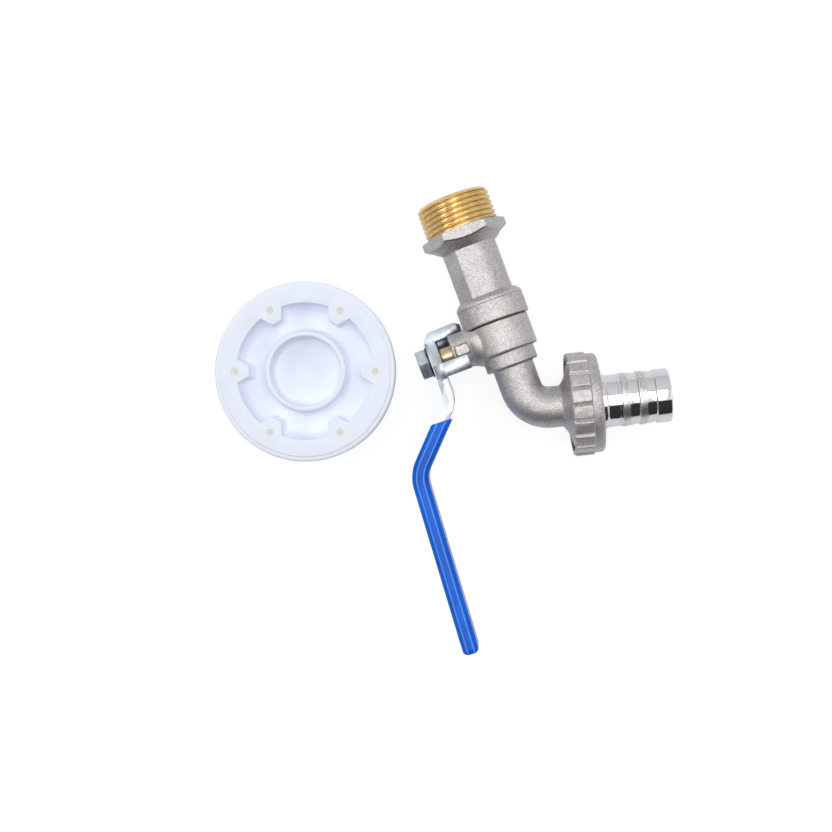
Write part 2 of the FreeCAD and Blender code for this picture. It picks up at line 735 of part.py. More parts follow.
def strip_outline(body, name, half):
    """Path and flat section of the lever's steel strip, from its folded end to the grip's end."""
    a, b, c, d, e = lever_route("0")
    start = "tab_gap + lever_thickness - lever_bend"
    path = draw(blank_sketch(body, name + "_path", "XY_Plane"), [
        ("-lever_mid", start),
        (a[0], a[1], "arm_bend_radius", -1),
        b,
        (c[0], c[1], "grip_bend_radius", 1),
        d,
        e,
    ], closed=False)
    section = draw(blank_sketch(body, name + "_section", "XZ_Plane", "-(%s)" % start), [
        ("-lever_mid - lever_thickness / 2", "-" + half),
        ("-lever_mid + lever_thickness / 2", "-" + half),
        ("-lever_mid + lever_thickness / 2", half),
        ("-lever_mid - lever_thickness / 2", half),
    ])
    return path, section


def rounded_box(half_x, half_y, radius):
    """Corner points of a centred box with round corners, anticlockwise."""
    near_x, near_y = "(%s - %s)" % (half_x, radius), "(%s - %s)" % (half_y, radius)
    return [
        ("-" + near_x, "-(%s)" % half_y),
        (near_x, "-(%s)" % half_y, radius, 1),
        (half_x, "-" + near_y),
        (half_x, near_y, radius, 1),
        (near_x, half_y),
        ("-" + near_x, half_y, radius, 1),
        ("-(%s)" % half_x, near_y),
        ("-(%s)" % half_x, "-" + near_y, radius, 1),
    ]


def lever_washer():
    """Toothed lock washer under the nut."""
    body = new_body("lever_washer")
    face = "-(lever_mid + lever_thickness / 2)"
    ring = draw(blank_sketch(body, "lock_profile", "XY_Plane"), [
        (face, "stud_radius + 0.2"),
        (face, "lock_washer_radius"),
        (face + " - lock_washer_thickness", "lock_washer_radius"),
        (face + " - lock_washer_thickness", "stud_radius + 0.2"),
    ])
    turned(body, "lock_ring", ring, "H_Axis")


def lever_nut():
    """Hexagon nut on the stem's stud, with one corner up."""
    body = new_body("lever_nut")
    face = "-(lever_mid + lever_thickness / 2 + lock_washer_thickness)"
    outline = blank_sketch(body, "nut_outline", "YZ_Plane", face + " - nut_height")
    polygon(outline, "nut_across", 6, 30)
    circle(outline, "0", "0", "stud_radius + fit")
    raised(body, "nut_flats", outline, "nut_height")
    corner = "nut_across / 2 / cos(30)"
    cutter = draw(blank_sketch(body, "nut_chamfer_line", "XY_Plane"), [
        (face + " - nut_height", "nut_across / 2 - 0.1"),
        (face + " - nut_height", corner + " + 1"),
        (face + " - nut_height + (%s + 1.1 - nut_across / 2) * tan(30)" % corner, corner + " + 1"),
    ])
    turned(body, "nut_chamfer", cutter, "H_Axis", cut=True)


def union_nut():
    """Ring nut with a band of flat grip pads, closed by a shoulder that draws the hose tail in."""
    body = new_body("union_nut")
    shoulder = "union_face + union_washer_thickness + tail_collar_thickness + 2 * fit"
    profile = draw(blank_sketch(body, "union_profile", "XY_Plane"), [
        ("union_nut_start", "union_thread_radius + fit"),
        ("union_nut_start", "union_band_radius"),
        ("union_band_end", "union_band_radius"),
        ("union_band_end", "union_ring_radius"),
        ("union_nut_end - 0.5", "union_ring_radius"),
        ("union_nut_end", "union_ring_radius - 0.5"),
        ("union_nut_end", "tail_neck_radius + fit"),
        (shoulder, "tail_neck_radius + fit"),
        (shoulder, "union_thread_radius + fit"),
    ])
    turned(body, "union_ring", profile, "H_Axis")
    pad = draw(blank_sketch(body, "pad_outline", "YZ_Plane", "union_nut_start"), [
        ("-union_pad_half", "union_band_radius - 0.8"),
        ("union_pad_half", "union_band_radius - 0.8"),
        ("union_pad_half", "union_pad_radius - 0.1"),
        ("union_pad_half - 0.3", "union_pad_radius"),
        ("-union_pad_half + 0.3", "union_pad_radius"),
        ("-union_pad_half", "union_pad_radius - 0.1"),
    ])
    feature = raised(body, "grip_pad", pad, "union_band_end - union_nut_start")
    repeated(body, "grip_band", [feature], pad, int(val("union_pads")))


def union_washer():
    """Flat gasket between the body and the hose tail."""
    body = new_body("union_washer")
    ring = draw(blank_sketch(body, "union_washer_profile", "XY_Plane"), [
        ("union_face", "union_washer_inner"),
        ("union_face", "union_washer_outer"),
        ("union_face + union_washer_thickness", "union_washer_outer"),
        ("union_face + union_washer_thickness", "union_washer_inner"),
    ])
    turned(body, "union_washer_ring", ring, "H_Axis")


def hose_tail():
    """Hose tail with a collar under the nut and three barb ridges."""
    body = new_body("hose_tail")
    face = "union_face + union_washer_thickness"
    back = face + " + tail_collar_thickness"
    points = [
        (face, "tail_bore"),
        (face, "tail_collar_radius"),
        (back, "tail_collar_radius"),
        (back, "tail_neck_radius"),
        ("union_nut_end + 1", "tail_neck_radius"),
        ("union_nut_end + 2", "tail_waist_radius"),
        ("tail_first_ridge", "tail_waist_radius"),
    ]
    for ridge in range(3):
        start = "tail_first_ridge + %d * tail_ridge_pitch" % ridge
        points.append((start, "tail_crest"))
        points.append((start + " + tail_land", "tail_crest"))
        if ridge < 2:
            points.append((start + " + tail_ridge_pitch", "tail_valley"))
    points += [("tail_end - 0.6", "tail_valley"), ("tail_end", "tail_valley - 0.6"), ("tail_end", "tail_bore")]
    profile = draw(blank_sketch(body, "tail_profile", "XY_Plane"), points)
    turned(body, "tail_turning", profile, "H_Axis")


def bung():
    """Drum bung: flange, outer thread, star socket and a centre socket closed by a membrane."""
    body = new_body("bung", tap=False)
    floor = "bung_height - recess_depth"
    membrane_foot = "membrane_top - membrane_thickness"
    profile = draw(blank_sketch(body, "bung_profile", "XZ_Plane"), [
        ("0", membrane_foot),
        ("socket_radius", membrane_foot),
        ("socket_radius", "socket_foot"),
        ("socket_ring_radius", "socket_foot"),
        ("socket_ring_radius", floor + " - floor_thickness"),
        ("recess_radius", floor + " - floor_thickness"),
        ("skirt_inner", floor + " - floor_thickness - 1"),
        ("skirt_inner", "0"),
        ("bung_thread_radius - 1", "0"),
        ("bung_thread_radius", "1"),
        ("bung_thread_radius", "bung_thread_top"),
        ("gasket_seat_radius", "bung_thread_top"),
        ("gasket_seat_radius", "bung_height - flange_thickness"),
        ("flange_radius - 0.4", "bung_height - flange_thickness"),
        ("flange_radius", "bung_height - flange_thickness + 0.4"),
        ("flange_radius", "bung_height - rim_ledge - 1", "1", 1),
        ("flange_radius - 1", "bung_height - rim_ledge"),
        ("rim_ledge_radius", "bung_height - rim_ledge"),
        ("rim_ledge_radius - 0.3", "bung_height"),
        ("recess_radius + 0.5", "bung_height", "0.5", 1),
        ("recess_radius", "bung_height - 0.5"),
        ("recess_radius", floor + " + recess_round", "recess_round", -1),
        ("recess_radius - recess_round", floor),
        ("socket_ring_radius + 1", floor, "1", -1),
        ("socket_ring_radius", floor + " + 1"),
        ("socket_crest_radius + 0.7", "bung_height - socket_drop - 0.7", "0.7", 1),
        ("socket_crest_radius", "bung_height - socket_drop"),
        ("socket_radius + 0.6", "bung_height - socket_drop"),
        ("socket_radius", "bung_height - socket_drop - 0.6"),
        ("socket_radius", "membrane_top"),
        ("0", "membrane_top"),
    ])
    turned(body, "bung_turning", profile)
    lug = draw(blank_sketch(body, "star_lug_outline", "XY_Plane", floor + " - 0.5"), [
        ("lug_root_radius", "-lug_root_half"),
        ("lug_root_radius", "lug_root_half"),
        ("lug_tip_radius", "lug_tip_half"),
        ("lug_tip_radius", "-lug_tip_half"),
    ])
    lugs = raised(body, "star_lug", lug, "recess_depth + 0.5")
    repeated(body, "star_lugs", [lugs], lug, 6)
    hole = blank_sketch(body, "lug_hole_outline", "XY_Plane", "bung_height")
    circle(hole, "lug_hole_ring", "0", "lug_hole_radius")
    holes = raised(body, "lug_hole", hole, "lug_hole_depth", cut=True)
    repeated(body, "lug_holes", [holes], hole, 6)


def bung_gasket():
    """Rubber ring under the bung's flange."""
    body = new_body("bung_gasket", tap=False)
    top = "bung_height - flange_thickness"
    ring = draw(blank_sketch(body, "gasket_profile", "XZ_Plane"), [
        ("gasket_inner", top + " - gasket_thickness"),
        ("gasket_outer", top + " - gasket_thickness"),
        ("gasket_outer", top),
        ("gasket_inner", top),
    ])
    turned(body, "gasket_ring", ring)


def place_all():
    """Lay the tap level beside the bung, its union nut on the table, and centre the set on the origin."""
    tap = Placement(Vector(val("set_width - flange_radius - tail_span"), val("tap_y"), 0), Rotation())
    outlet = Placement(Vector(0, -val("elbow_corner"), 0), Rotation(Vector(0, 0, 1), val("outlet_angle - 90")))
    turned_bung = Placement(Vector(), Rotation(Vector(0, 0, 1), -val("bung_turn")))
    everything = DOC.findObjects("PartDesign::Body")
    for body in everything:
        if body not in TAP_PARTS:
            body.Placement = turned_bung
        elif body.Label in ("union_nut", "union_washer", "hose_tail"):
            body.Placement = tap.multiply(outlet)
        else:
            body.Placement = tap
    DOC.recompute()
    lowest = min(body.Shape.optimalBoundingBox(False).ZMin for body in TAP_PARTS)
    boxes = [body.Shape.optimalBoundingBox(False) for body in everything]
    middle_x = (min(box.XMin for box in boxes) + max(box.XMax for box in boxes)) / 2
    middle_y = (min(box.YMin for box in boxes) + max(box.YMax for box in boxes)) / 2
    for body in everything:
        drop = lowest if body in TAP_PARTS else 0
        body.Placement.Base = body.Placement.Base - Vector(middle_x, middle_y, drop)
    DOC.recompute()


def export_all():
    os.makedirs("parts", exist_ok=True)
    for body in DOC.findObjects("PartDesign::Body"):
        if "Invalid" in body.State or "Error" in body.State or not body.Shape.isValid():
            raise RuntimeError(body.Label + " is not a valid solid")
        if len(body.Shape.Solids) != 1:
            raise RuntimeError(body.Label + " is not one solid")
        body.Shape.exportStep("parts/%s.step" % body.Label)


fill_sheet()
valve_body()
inlet_end()
body_seal()
ball()
seat("seat_upstream", "", "cavity_radius - 2 * fit")
seat("seat_downstream", "-", "seat_outer")
stem()
stem_washer()
stem_ring("stem_ring_inner", 0)
stem_ring("stem_ring_outer", 1)
lever()
lever_sleeve()
lever_washer()
lever_nut()
union_nut()
union_washer()
hose_tail()
bung()
bung_gasket()
place_all()
export_all()
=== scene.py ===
"""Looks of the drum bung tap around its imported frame: cast nickel, bare brass, chrome, zinc, blue vinyl
and white plastic."""
import json
import math
from functools import partial

import bmesh
import bpy
from bpy.props import FloatProperty, FloatVectorProperty, PointerProperty
from bpy.types import Operator, Panel, PropertyGroup
from mathutils import Matrix, Vector, noise


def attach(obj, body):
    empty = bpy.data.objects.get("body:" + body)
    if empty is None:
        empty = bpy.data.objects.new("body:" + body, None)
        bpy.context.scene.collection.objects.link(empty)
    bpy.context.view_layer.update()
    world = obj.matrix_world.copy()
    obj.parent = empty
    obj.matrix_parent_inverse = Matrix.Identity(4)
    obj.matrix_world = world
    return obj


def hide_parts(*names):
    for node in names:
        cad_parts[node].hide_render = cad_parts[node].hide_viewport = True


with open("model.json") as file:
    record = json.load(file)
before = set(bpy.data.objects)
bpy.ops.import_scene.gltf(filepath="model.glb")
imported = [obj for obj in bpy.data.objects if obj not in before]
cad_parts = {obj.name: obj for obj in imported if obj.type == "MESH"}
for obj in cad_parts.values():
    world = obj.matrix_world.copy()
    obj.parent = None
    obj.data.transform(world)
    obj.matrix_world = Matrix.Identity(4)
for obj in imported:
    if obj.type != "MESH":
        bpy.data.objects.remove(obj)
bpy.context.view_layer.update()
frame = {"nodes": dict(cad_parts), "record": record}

bl_info = {
    "name": "Drum bung tap",
    "version": (1, 0, 0),
    "blender": (4, 5, 0),
    "location": "3D View > Sidebar > Drum Tap",
    "description": "Builds the visible pieces of a drum bung tap around its packed frame",
    "category": "Object",
}

# Places. Shapes are drawn in millimetres in the tap's own frame: x away from the lever,
# y out of the inlet, z to the side that faces up; the matrices bring them into the frame.
RECORD = frame["record"]
JOINT = {joint["name"]: joint for joint in RECORD["behaviour"]["joints"]}
MOUNT = {mount["name"]: mount for mount in RECORD["mounts"]}
ELBOW_CORNER = 27.9
SPOUT_BEND = 10.0
OUTLET_ANGLE = math.radians(75.7)


def placed(origin, x, y):
    """Matrix from a millimetre frame with the given origin and axes to the scene."""
    x = Vector(x).normalized()
    z = x.cross(Vector(y)).normalized()
    turn = Matrix((x, z.cross(x), z)).transposed().to_4x4()
    return Matrix.Translation(Vector(origin)) @ turn @ Matrix.Scale(0.001, 4)


TAP = placed(JOINT["lever_turn"]["pos_m"], JOINT["lever_turn"]["axis"], MOUNT["inlet_thread"]["axis"])
BUNG_AT = MOUNT["bung_socket"]["pos_m"]
BUNG = placed((BUNG_AT[0], BUNG_AT[1], 0), (0, 0, 1), (1, 0, 0))
MILLIMETRES = Matrix.Scale(0.001, 4)
TO_INLET = Matrix.Rotation(math.radians(90), 4, "Z")
TO_LEVER = Matrix.Rotation(math.radians(180), 4, "Z")
TO_OUTLET = Matrix.Translation((0, -ELBOW_CORNER, 0)) @ Matrix.Rotation(OUTLET_ANGLE - math.pi / 2, 4, "Z")
OUTLET_AXIS = Vector(JOINT["union_draw"]["axis"])

# The picture: its turn against the frame, its width in metres level with the tap's axis, the camera's
# place beside the tap's origin, and the view's shift in widths of the picture.
PICTURE_TURN = math.radians(20.3)
PICTURE_WIDTH = 0.2973
VIEW_OFFSET = (-0.0155, -0.0194)
VIEW_SHIFT = (-0.0769, -0.0168)

# The hose tail's ridges along the outlet, in millimetres.
FIRST_RIDGE = 32.8
RIDGE_PITCH = 6.05

# The bung lies with two of its lugs level in the picture. Its six small holes, in metres: the ring they
# lie on, their radius, and the heights between which their walls are.
BUNG_TURN = PICTURE_TURN
HOLE_RING = 0.0247
HOLE_RADIUS = 0.00137
HOLE_SPAN = (0.018, 0.0258)

# The attribute painted on a shape's points where painted shade goes (thread grooves, the hexagon's edge
# line, the stop lug's rim, the lever's far tab and cut) and where the sleeve's painted highlight lines go.
PAINTED_LIGHT = "wear_and_painted_light"


# Materials


def dimmed(tint, *factors):
    """The colour with its channels scaled by one factor, or by one factor each."""
    return tuple(c * f for c, f in zip(tint, factors * 3 if len(factors) == 1 else factors))


def maths_node(tree, operation, first, second):
    """Output of a Math node; first and second are numbers or outputs."""
    node = tree.nodes.new("ShaderNodeMath")
    node.operation = operation
    for socket, value in zip(node.inputs, (first, second)):
        if isinstance(value, bpy.types.NodeSocket):
            tree.links.new(value, socket)
        else:
            socket.default_value = value
    return node.outputs[0]


def range_node(tree, value, low, high, to_low=0.0, to_high=1.0):
    """Output of a Map Range node, which holds at its ends."""
    node = tree.nodes.new("ShaderNodeMapRange")
    for name, number in zip(("From Min", "From Max", "To Min", "To Max"), (low, high, to_low, to_high)):
        node.inputs[name].default_value = number
    tree.links.new(value, node.inputs["Value"])
    return node.outputs["Result"]


def along_node(tree, vector, direction):
    """Output of a dot product: how far a vector reaches along a direction."""
    node = tree.nodes.new("ShaderNodeVectorMath")
    node.operation = "DOT_PRODUCT"
    node.inputs[1].default_value = direction
    tree.links.new(vector, node.inputs[0])
    return node.outputs["Value"]


class Nodes:
    """A node material under construction, with its Principled shader."""

    def __init__(self, name, colour, metallic=0.0, roughness=0.5):
        self.material = bpy.data.materials.new(name)
        self.material.use_nodes = True
        self.tree = self.material.node_tree
        self.shader = self.tree.nodes["Principled BSDF"]
        self.shader.inputs["Base Color"].default_value = (*colour, 1)
        self.shader.inputs["Metallic"].default_value = metallic
        self.shader.inputs["Roughness"].default_value = roughness
        self.material.diffuse_color = (*colour, 1)
        coordinates = self.add("ShaderNodeTexCoord")
        self.place = self.add("ShaderNodeMapping")
        self.place.inputs["Scale"].default_value = (1000, 1000, 1000)
        self.link(coordinates.outputs["Object"], self.place.inputs["Vector"])

    def add(self, kind, **inputs):
        node = self.tree.nodes.new(kind)
        for name, value in inputs.items():
            node.inputs[name.replace("_", " ")].default_value = value
        return node

    def link(self, output, socket):
        self.tree.links.new(output, socket)

    def noise(self, per_mm, detail=3.0, roughness=0.55, stretch=None):
        """Noise with per_mm features in a millimetre."""
        node = self.add("ShaderNodeTexNoise", Scale=per_mm, Detail=detail, Roughness=roughness)
        source = self.place
        if stretch:
            source = self.add("ShaderNodeMapping")
            source.inputs["Scale"].default_value = stretch
            self.link(self.place.outputs["Vector"], source.inputs["Vector"])
        self.link(source.outputs["Vector"], node.inputs["Vector"])
        return node.outputs["Fac"]

    def ramp(self, value, low, high, to_low=0.0, to_high=1.0):
        return range_node(self.tree, value, low, high, to_low, to_high)

    def mixed(self, factor, first, second):
        """Colour mix; first and second are colours or outputs. The node's sockets 6 and 7 and its output 2
        are those for colours."""
        node = self.tree.nodes.new("ShaderNodeMix")
        node.data_type = "RGBA"
        self.link(factor, node.inputs["Factor"])
        for socket, value in ((node.inputs[6], first), (node.inputs[7], second)):
            if isinstance(value, bpy.types.NodeSocket):
                self.link(value, socket)
            else:
                socket.default_value = (*value, 1)
        return node.outputs[2]

    def maths(self, operation, first, second):
        return maths_node(self.tree, operation, first, second)

    def seam(self, reach, low, high):
        """0 in the open, 1 in crevices narrower than reach millimetres."""
        node = self.tree.nodes.new("ShaderNodeAmbientOcclusion")
        node.samples = 8
        node.inputs["Distance"].default_value = reach / 1000
        return self.ramp(node.outputs["AO"], high, low)

    def bump(self, height, micrometres, strength):
        node = self.add("ShaderNodeBump", Strength=strength, Distance=micrometres * 1e-6)
        self.link(height, node.inputs["Height"])
        self.link(node.outputs["Normal"], self.shader.inputs["Normal"])

    def painted(self):
        """The value painted on the shape's points: 1 where painted shade goes, and on the sleeve where its
        painted highlight lines go; in a thread it marks the grooves as painted shade.
        """
        node = self.tree.nodes.new("ShaderNodeAttribute")
        node.attribute_name = PAINTED_LIGHT
        return node.outputs["Fac"]

    def colour(self, output):
        self.link(output, self.shader.inputs["Base Color"])

    def rough(self, output):
        self.link(output, self.shader.inputs["Roughness"])


def cast_nickel(name, tint, stained=False):
    """Nickel plate over a sand-cast skin: mottled grain, dull blotches, painted brown shade in its crevices,
    painted dark shade lines where the shape's points are painted and, where it is stained, a few rusty
    specks."""
    m = Nodes(name, tint, 1.0, 0.42)
    grain = m.noise(1.7, 4.0, 0.75)
    blotch = m.noise(0.16, 3.0)
    colour = m.mixed(m.ramp(blotch, 0.35, 0.7), tint, dimmed(tint, 0.84))
    colour = m.mixed(m.ramp(grain, 0.44, 0.66, 0, 0.75), colour, dimmed(tint, 0.40))
    # Painted shade: crevices darkened to brown.
    colour = m.mixed(m.maths("MULTIPLY", m.seam(1.3, 0.2, 0.7), 0.75), colour, (0.17, 0.105, 0.07))
    if stained:
        speck = m.ramp(m.noise(0.7, 4.0, 0.7), 0.62, 0.67)
        colour = m.mixed(m.maths("MULTIPLY", speck, 0.45), colour, (0.60, 0.27, 0.09))
    # Painted shade: the dark lines painted along the hexagon's up-facing flat and round the stop lug's top.
    colour = m.mixed(m.painted(), colour, (0.16, 0.09, 0.06))
    m.colour(colour)
    m.rough(m.ramp(grain, 0.3, 0.7, 0.34, 0.50))
    m.bump(grain, 260, 0.8)
    return m.material


def turned_brass(name, tint, roughness):
    """Bare machined brass with faint tool lines, painted shade in its crevices and a darker orange painted
    into its thread grooves as shade.
    """
    m = Nodes(name, tint, 1.0, roughness)
    colour = m.mixed(m.ramp(m.noise(0.3, 2.0), 0.35, 0.75), tint, dimmed(tint, 0.93, 0.88, 0.76))
    # Painted shade: crevices darkened to orange brown.
    colour = m.mixed(m.maths("MULTIPLY", m.seam(0.7, 0.35, 0.85), 0.25), colour, (0.62, 0.42, 0.18))
    # Painted shade: the thread's grooves and crest notches painted a darker orange.
    colour = m.mixed(m.ramp(m.painted(), 0.35, 0.8, 0, 0.75), colour, (0.45, 0.26, 0.08))
    m.colour(colour)
    m.rough(m.ramp(m.noise(3.0, 2.0), 0.3, 0.7, roughness * 0.85, roughness * 1.25))
    m.bump(m.noise(4.0, 2.0), 8, 0.5)
    return m.material


def bright_chrome(name, tint, first_ridge=None):
    """Polished chrome; with a first ridge given, the backs of the tail's first two ridges are scuffed."""
    m = Nodes(name, tint, 1.0, 0.07)
    streak = m.ramp(m.noise(1.2, 4.0), 0.35, 0.75, 0.04, 0.10)
    pits = m.ramp(m.noise(2.6, 2.0, 0.5), 0.73, 0.78)
    colour = m.mixed(m.maths("MULTIPLY", pits, 0.5), tint, (0.25, 0.24, 0.24))
    if first_ridge is not None:
        along = along_node(m.tree, m.place.outputs["Vector"], OUTLET_AXIS)
        turn = m.maths("DIVIDE", m.maths("SUBTRACT", along, first_ridge), RIDGE_PITCH)
        back = m.ramp(m.maths("FRACT", turn, 0.0), 0.50, 0.36)
        within = m.maths("MULTIPLY", m.ramp(turn, 0.0, 0.04), m.ramp(turn, 1.98, 1.90))
        scuff = m.maths("MULTIPLY", back, within)
        speckle = m.noise(1.9, 4.0, 0.75)
        wear_and_painted_light = m.mixed(m.ramp(speckle, 0.46, 0.60), (0.86, 0.85, 0.85), (0.30, 0.29, 0.28))
        colour = m.mixed(m.maths("MULTIPLY", scuff, 0.85), colour, wear_and_painted_light)
        m.rough(m.maths("ADD", streak, m.maths("MULTIPLY", scuff, 0.30)))
    else:
        m.rough(streak)
    m.colour(colour)
    m.bump(m.noise(0.8, 3.0), 7, 0.6)
    return m.material


def zinc_plate(name, tint, dark):
    """Bright bluish zinc on pressed steel: cloudy, with fine scratches, painted shade darkening its bends
    and painted shade where the shape's points are painted.
    """
    m = Nodes(name, tint, 1.0, 0.36)
    cloud = m.noise(0.35, 4.0, 0.6)
    scratch = m.noise(1.4, 3.0, 0.7, (1.0, 0.2, 1.0))
    colour = m.mixed(m.ramp(cloud, 0.35, 0.7), tint, dark)
    # Painted shade: bends and crevices darkened.
    colour = m.mixed(m.maths("MULTIPLY", m.seam(1.3, 0.2, 0.75), 0.75), colour, dimmed(dark, 0.25))
    # Painted shade: the lever's cut end, far tab and plate, where its points are painted.
    m.colour(m.mixed(m.painted(), colour, (0.22, 0.26, 0.32)))
    m.rough(m.ramp(scratch, 0.3, 0.7, 0.34, 0.54))
    m.bump(m.maths("ADD", scratch, m.noise(1.6, 3.0)), 60, 0.5)
    return m.material


def dipped_vinyl(name, tint):
    """Glossy dipped vinyl with the slight waves of a dip coat, and painted highlights: paler lines along its
    edges.
    """
    m = Nodes(name, tint, 0.0, 0.22)
    m.shader.inputs["Specular IOR Level"].default_value = 0.13
    colour = m.mixed(m.ramp(m.noise(0.1, 2.0), 0.35, 0.7), tint, dimmed(tint, 0.75))
    # Painted highlight: pale lines where the shape's points are painted.
    m.colour(m.mixed(m.ramp(m.painted(), 0.2, 1.0, 0, 0.8), colour, (0.22, 0.42, 0.85)))
    m.rough(m.ramp(m.noise(1.5, 2.0), 0.3, 0.7, 0.14, 0.22))
    m.bump(m.noise(0.25, 2.0, 0.4), 40, 0.5)
    return m.material


def moulded_plastic(name, tint):
    """Satin moulded polyethylene: even, with a trace of orange peel, dust specks and painted shade in its
    corners. Its hollows glow a little: painted light that brightens them."""
    m = Nodes(name, tint, 0.0, 0.45)
    m.shader.inputs["Subsurface Weight"].default_value = 0.2
    m.shader.inputs["Subsurface Scale"].default_value = 0.002
    m.shader.inputs["Subsurface Radius"].default_value = (1.0, 1.0, 1.0)
    colour = m.mixed(m.ramp(m.noise(0.12, 2.0), 0.3, 0.75), tint, dimmed(tint, 0.97))
    # Painted shade: corners darkened.
    corner = m.maths("MULTIPLY", m.seam(1.5, 0.2, 0.7), 0.3)
    colour = m.mixed(corner, colour, dimmed(tint, 0.72, 0.71, 0.66))
    dust = m.ramp(m.noise(0.9, 5.0, 0.75), 0.745, 0.765, 0, 0.35)
    m.colour(m.mixed(dust, colour, (0.50, 0.45, 0.42)))
    m.rough(m.ramp(m.noise(0.8, 3.0), 0.3, 0.7, 0.40, 0.54))
    m.bump(m.noise(0.9, 3.0), 14, 0.5)
    # Painted light: a faint glow in the hollows.
    m.shader.inputs["Emission Color"].default_value = (0.90, 0.89, 0.92, 1)
    m.link(m.maths("MULTIPLY", m.seam(9.0, 0.15, 0.95), 0.17), m.shader.inputs["Emission Strength"])
    return m.material


def lit_plastic(name, tint):
    """The white plastic inside its narrow holes, which glows: painted light that makes them look lit from
    the sides.
    """
    m = Nodes(name, tint, 0.0, 0.6)
    shade = m.mixed(m.ramp(m.noise(1.5, 2.0), 0.3, 0.7), tint, dimmed(tint, 0.93))
    # Painted light: the pale colour comes from a glow.
    m.link(shade, m.shader.inputs["Emission Color"])
    m.shader.inputs["Emission Strength"].default_value = 0.95
    m.shader.inputs["Base Color"].default_value = (0.1, 0.1, 0.09, 1)
    return m.material


def soft_rubber(name, tint, roughness=0.6):
    """Rubber or soft plastic with a fine dull grain."""
    m = Nodes(name, tint, 0.0, roughness)
    m.colour(m.mixed(m.ramp(m.noise(0.7, 3.0), 0.3, 0.7), tint, dimmed(tint, 0.8)))
    m.rough(m.ramp(m.noise(1.6, 3.0), 0.3, 0.7, roughness * 0.85, min(1.0, roughness * 1.15)))
    m.bump(m.noise(3.0, 3.0), 15, 0.5)
    return m.material


FINISH = {}


def build_finishes(colours):
    """Every finish once, by name."""
    FINISH["cast"] = cast_nickel("cast_nickel", tuple(colours.nickel))
    FINISH["cast_stained"] = cast_nickel("cast_nickel_stained", tuple(colours.nickel), True)
    FINISH["thread"] = turned_brass("bare_brass_thread", tuple(colours.brass), 0.30)
    FINISH["stem"] = turned_brass("dull_brass_stem", dimmed(colours.brass, 0.75, 0.76, 0.85), 0.36)
    FINISH["chrome"] = bright_chrome("bright_chrome", (0.82, 0.82, 0.84))
    ridge_start = (TAP @ TO_OUTLET @ Vector((FIRST_RIDGE, 0, 0))).dot(OUTLET_AXIS) * 1000
    FINISH["tail"] = bright_chrome("scuffed_chrome", (0.80, 0.80, 0.82), ridge_start)
    FINISH["zinc"] = zinc_plate("bright_zinc", tuple(colours.zinc), dimmed(colours.zinc, 0.8))
    FINISH["nut"] = zinc_plate("grey_zinc", (0.70, 0.76, 0.82), (0.54, 0.60, 0.66))
    # Painted shade: a near-black zinc for the lock washer, standing in for the shadow under the lever nut.
    FINISH["dark"] = zinc_plate("dark_zinc", (0.10, 0.12, 0.14), (0.06, 0.07, 0.09))
    FINISH["vinyl"] = dipped_vinyl("blue_vinyl", tuple(colours.sleeve))
    FINISH["plastic"] = moulded_plastic("white_polyethylene", tuple(colours.bung))
    FINISH["hole"] = lit_plastic("hole_in_plastic", (0.64, 0.645, 0.61))
    FINISH["ptfe"] = soft_rubber("white_seal_plastic", (0.85, 0.85, 0.82), 0.45)
    FINISH["rubber"] = soft_rubber("black_rubber", (0.03, 0.03, 0.03), 0.6)
    FINISH["foam"] = soft_rubber("pale_gasket_rubber", (0.72, 0.72, 0.70), 0.75)


# Mesh helpers


def rounded(bm, geom, size, segments, affect="EDGES", clamp=False):
    """Rounds edges, or a flat profile's corners."""
    bmesh.ops.bevel(
        bm, geom=geom, offset=size, offset_type="OFFSET", segments=segments, profile=0.5, affect=affect,
        clamp_overlap=clamp, material=-1,
    )


def turned(points, steps=128, step=None, outside=0.0):
    """Closed profile of (x, radius[, rounding]) spun round the x axis.

    step divides the profile's longer edges where both ends lie further out than outside."""
    bm = bmesh.new()
    verts = [bm.verts.new((p[0], p[1], 0)) for p in points]
    face = bm.faces.new(verts)
    for size in sorted({p[2] for p in points if len(p) > 2}):
        chosen = [v for v, p in zip(verts, points) if len(p) > 2 and p[2] == size]
        rounded(bm, chosen, size, 4, "VERTICES")
    bmesh.ops.delete(bm, geom=list(bm.faces), context="FACES_ONLY")
    if step:
        for edge in list(bm.edges):
            cuts = int(edge.calc_length() / step)
            if cuts and min(v.co.y for v in edge.verts) > outside:
                bmesh.ops.subdivide_edges(bm, edges=[edge], cuts=cuts)
    bmesh.ops.spin(
        bm, geom=list(bm.verts) + list(bm.edges), cent=(0, 0, 0), axis=(1, 0, 0), dvec=(0, 0, 0),
        angle=2 * math.pi, steps=steps, use_merge=True, use_duplicate=False, use_normal_flip=False,
    )
    tidy(bm)
    return bm


def tidy(bm, distance=0.0005):
    """Merges doubled points, drops faces and edges of no size and turns all faces outwards."""
    bmesh.ops.remove_doubles(bm, verts=list(bm.verts), dist=distance)
    bmesh.ops.dissolve_degenerate(bm, edges=list(bm.edges), dist=distance)
    bmesh.ops.recalc_face_normals(bm, faces=list(bm.faces))


def soft_min(a, b, k):
    """The smaller of two lengths, rounded over k where they are equal."""
    h = max(0.0, min(1.0, 0.5 + 0.5 * (b - a) / k))
    return b + (a - b) * h - k * h * (1 - h)


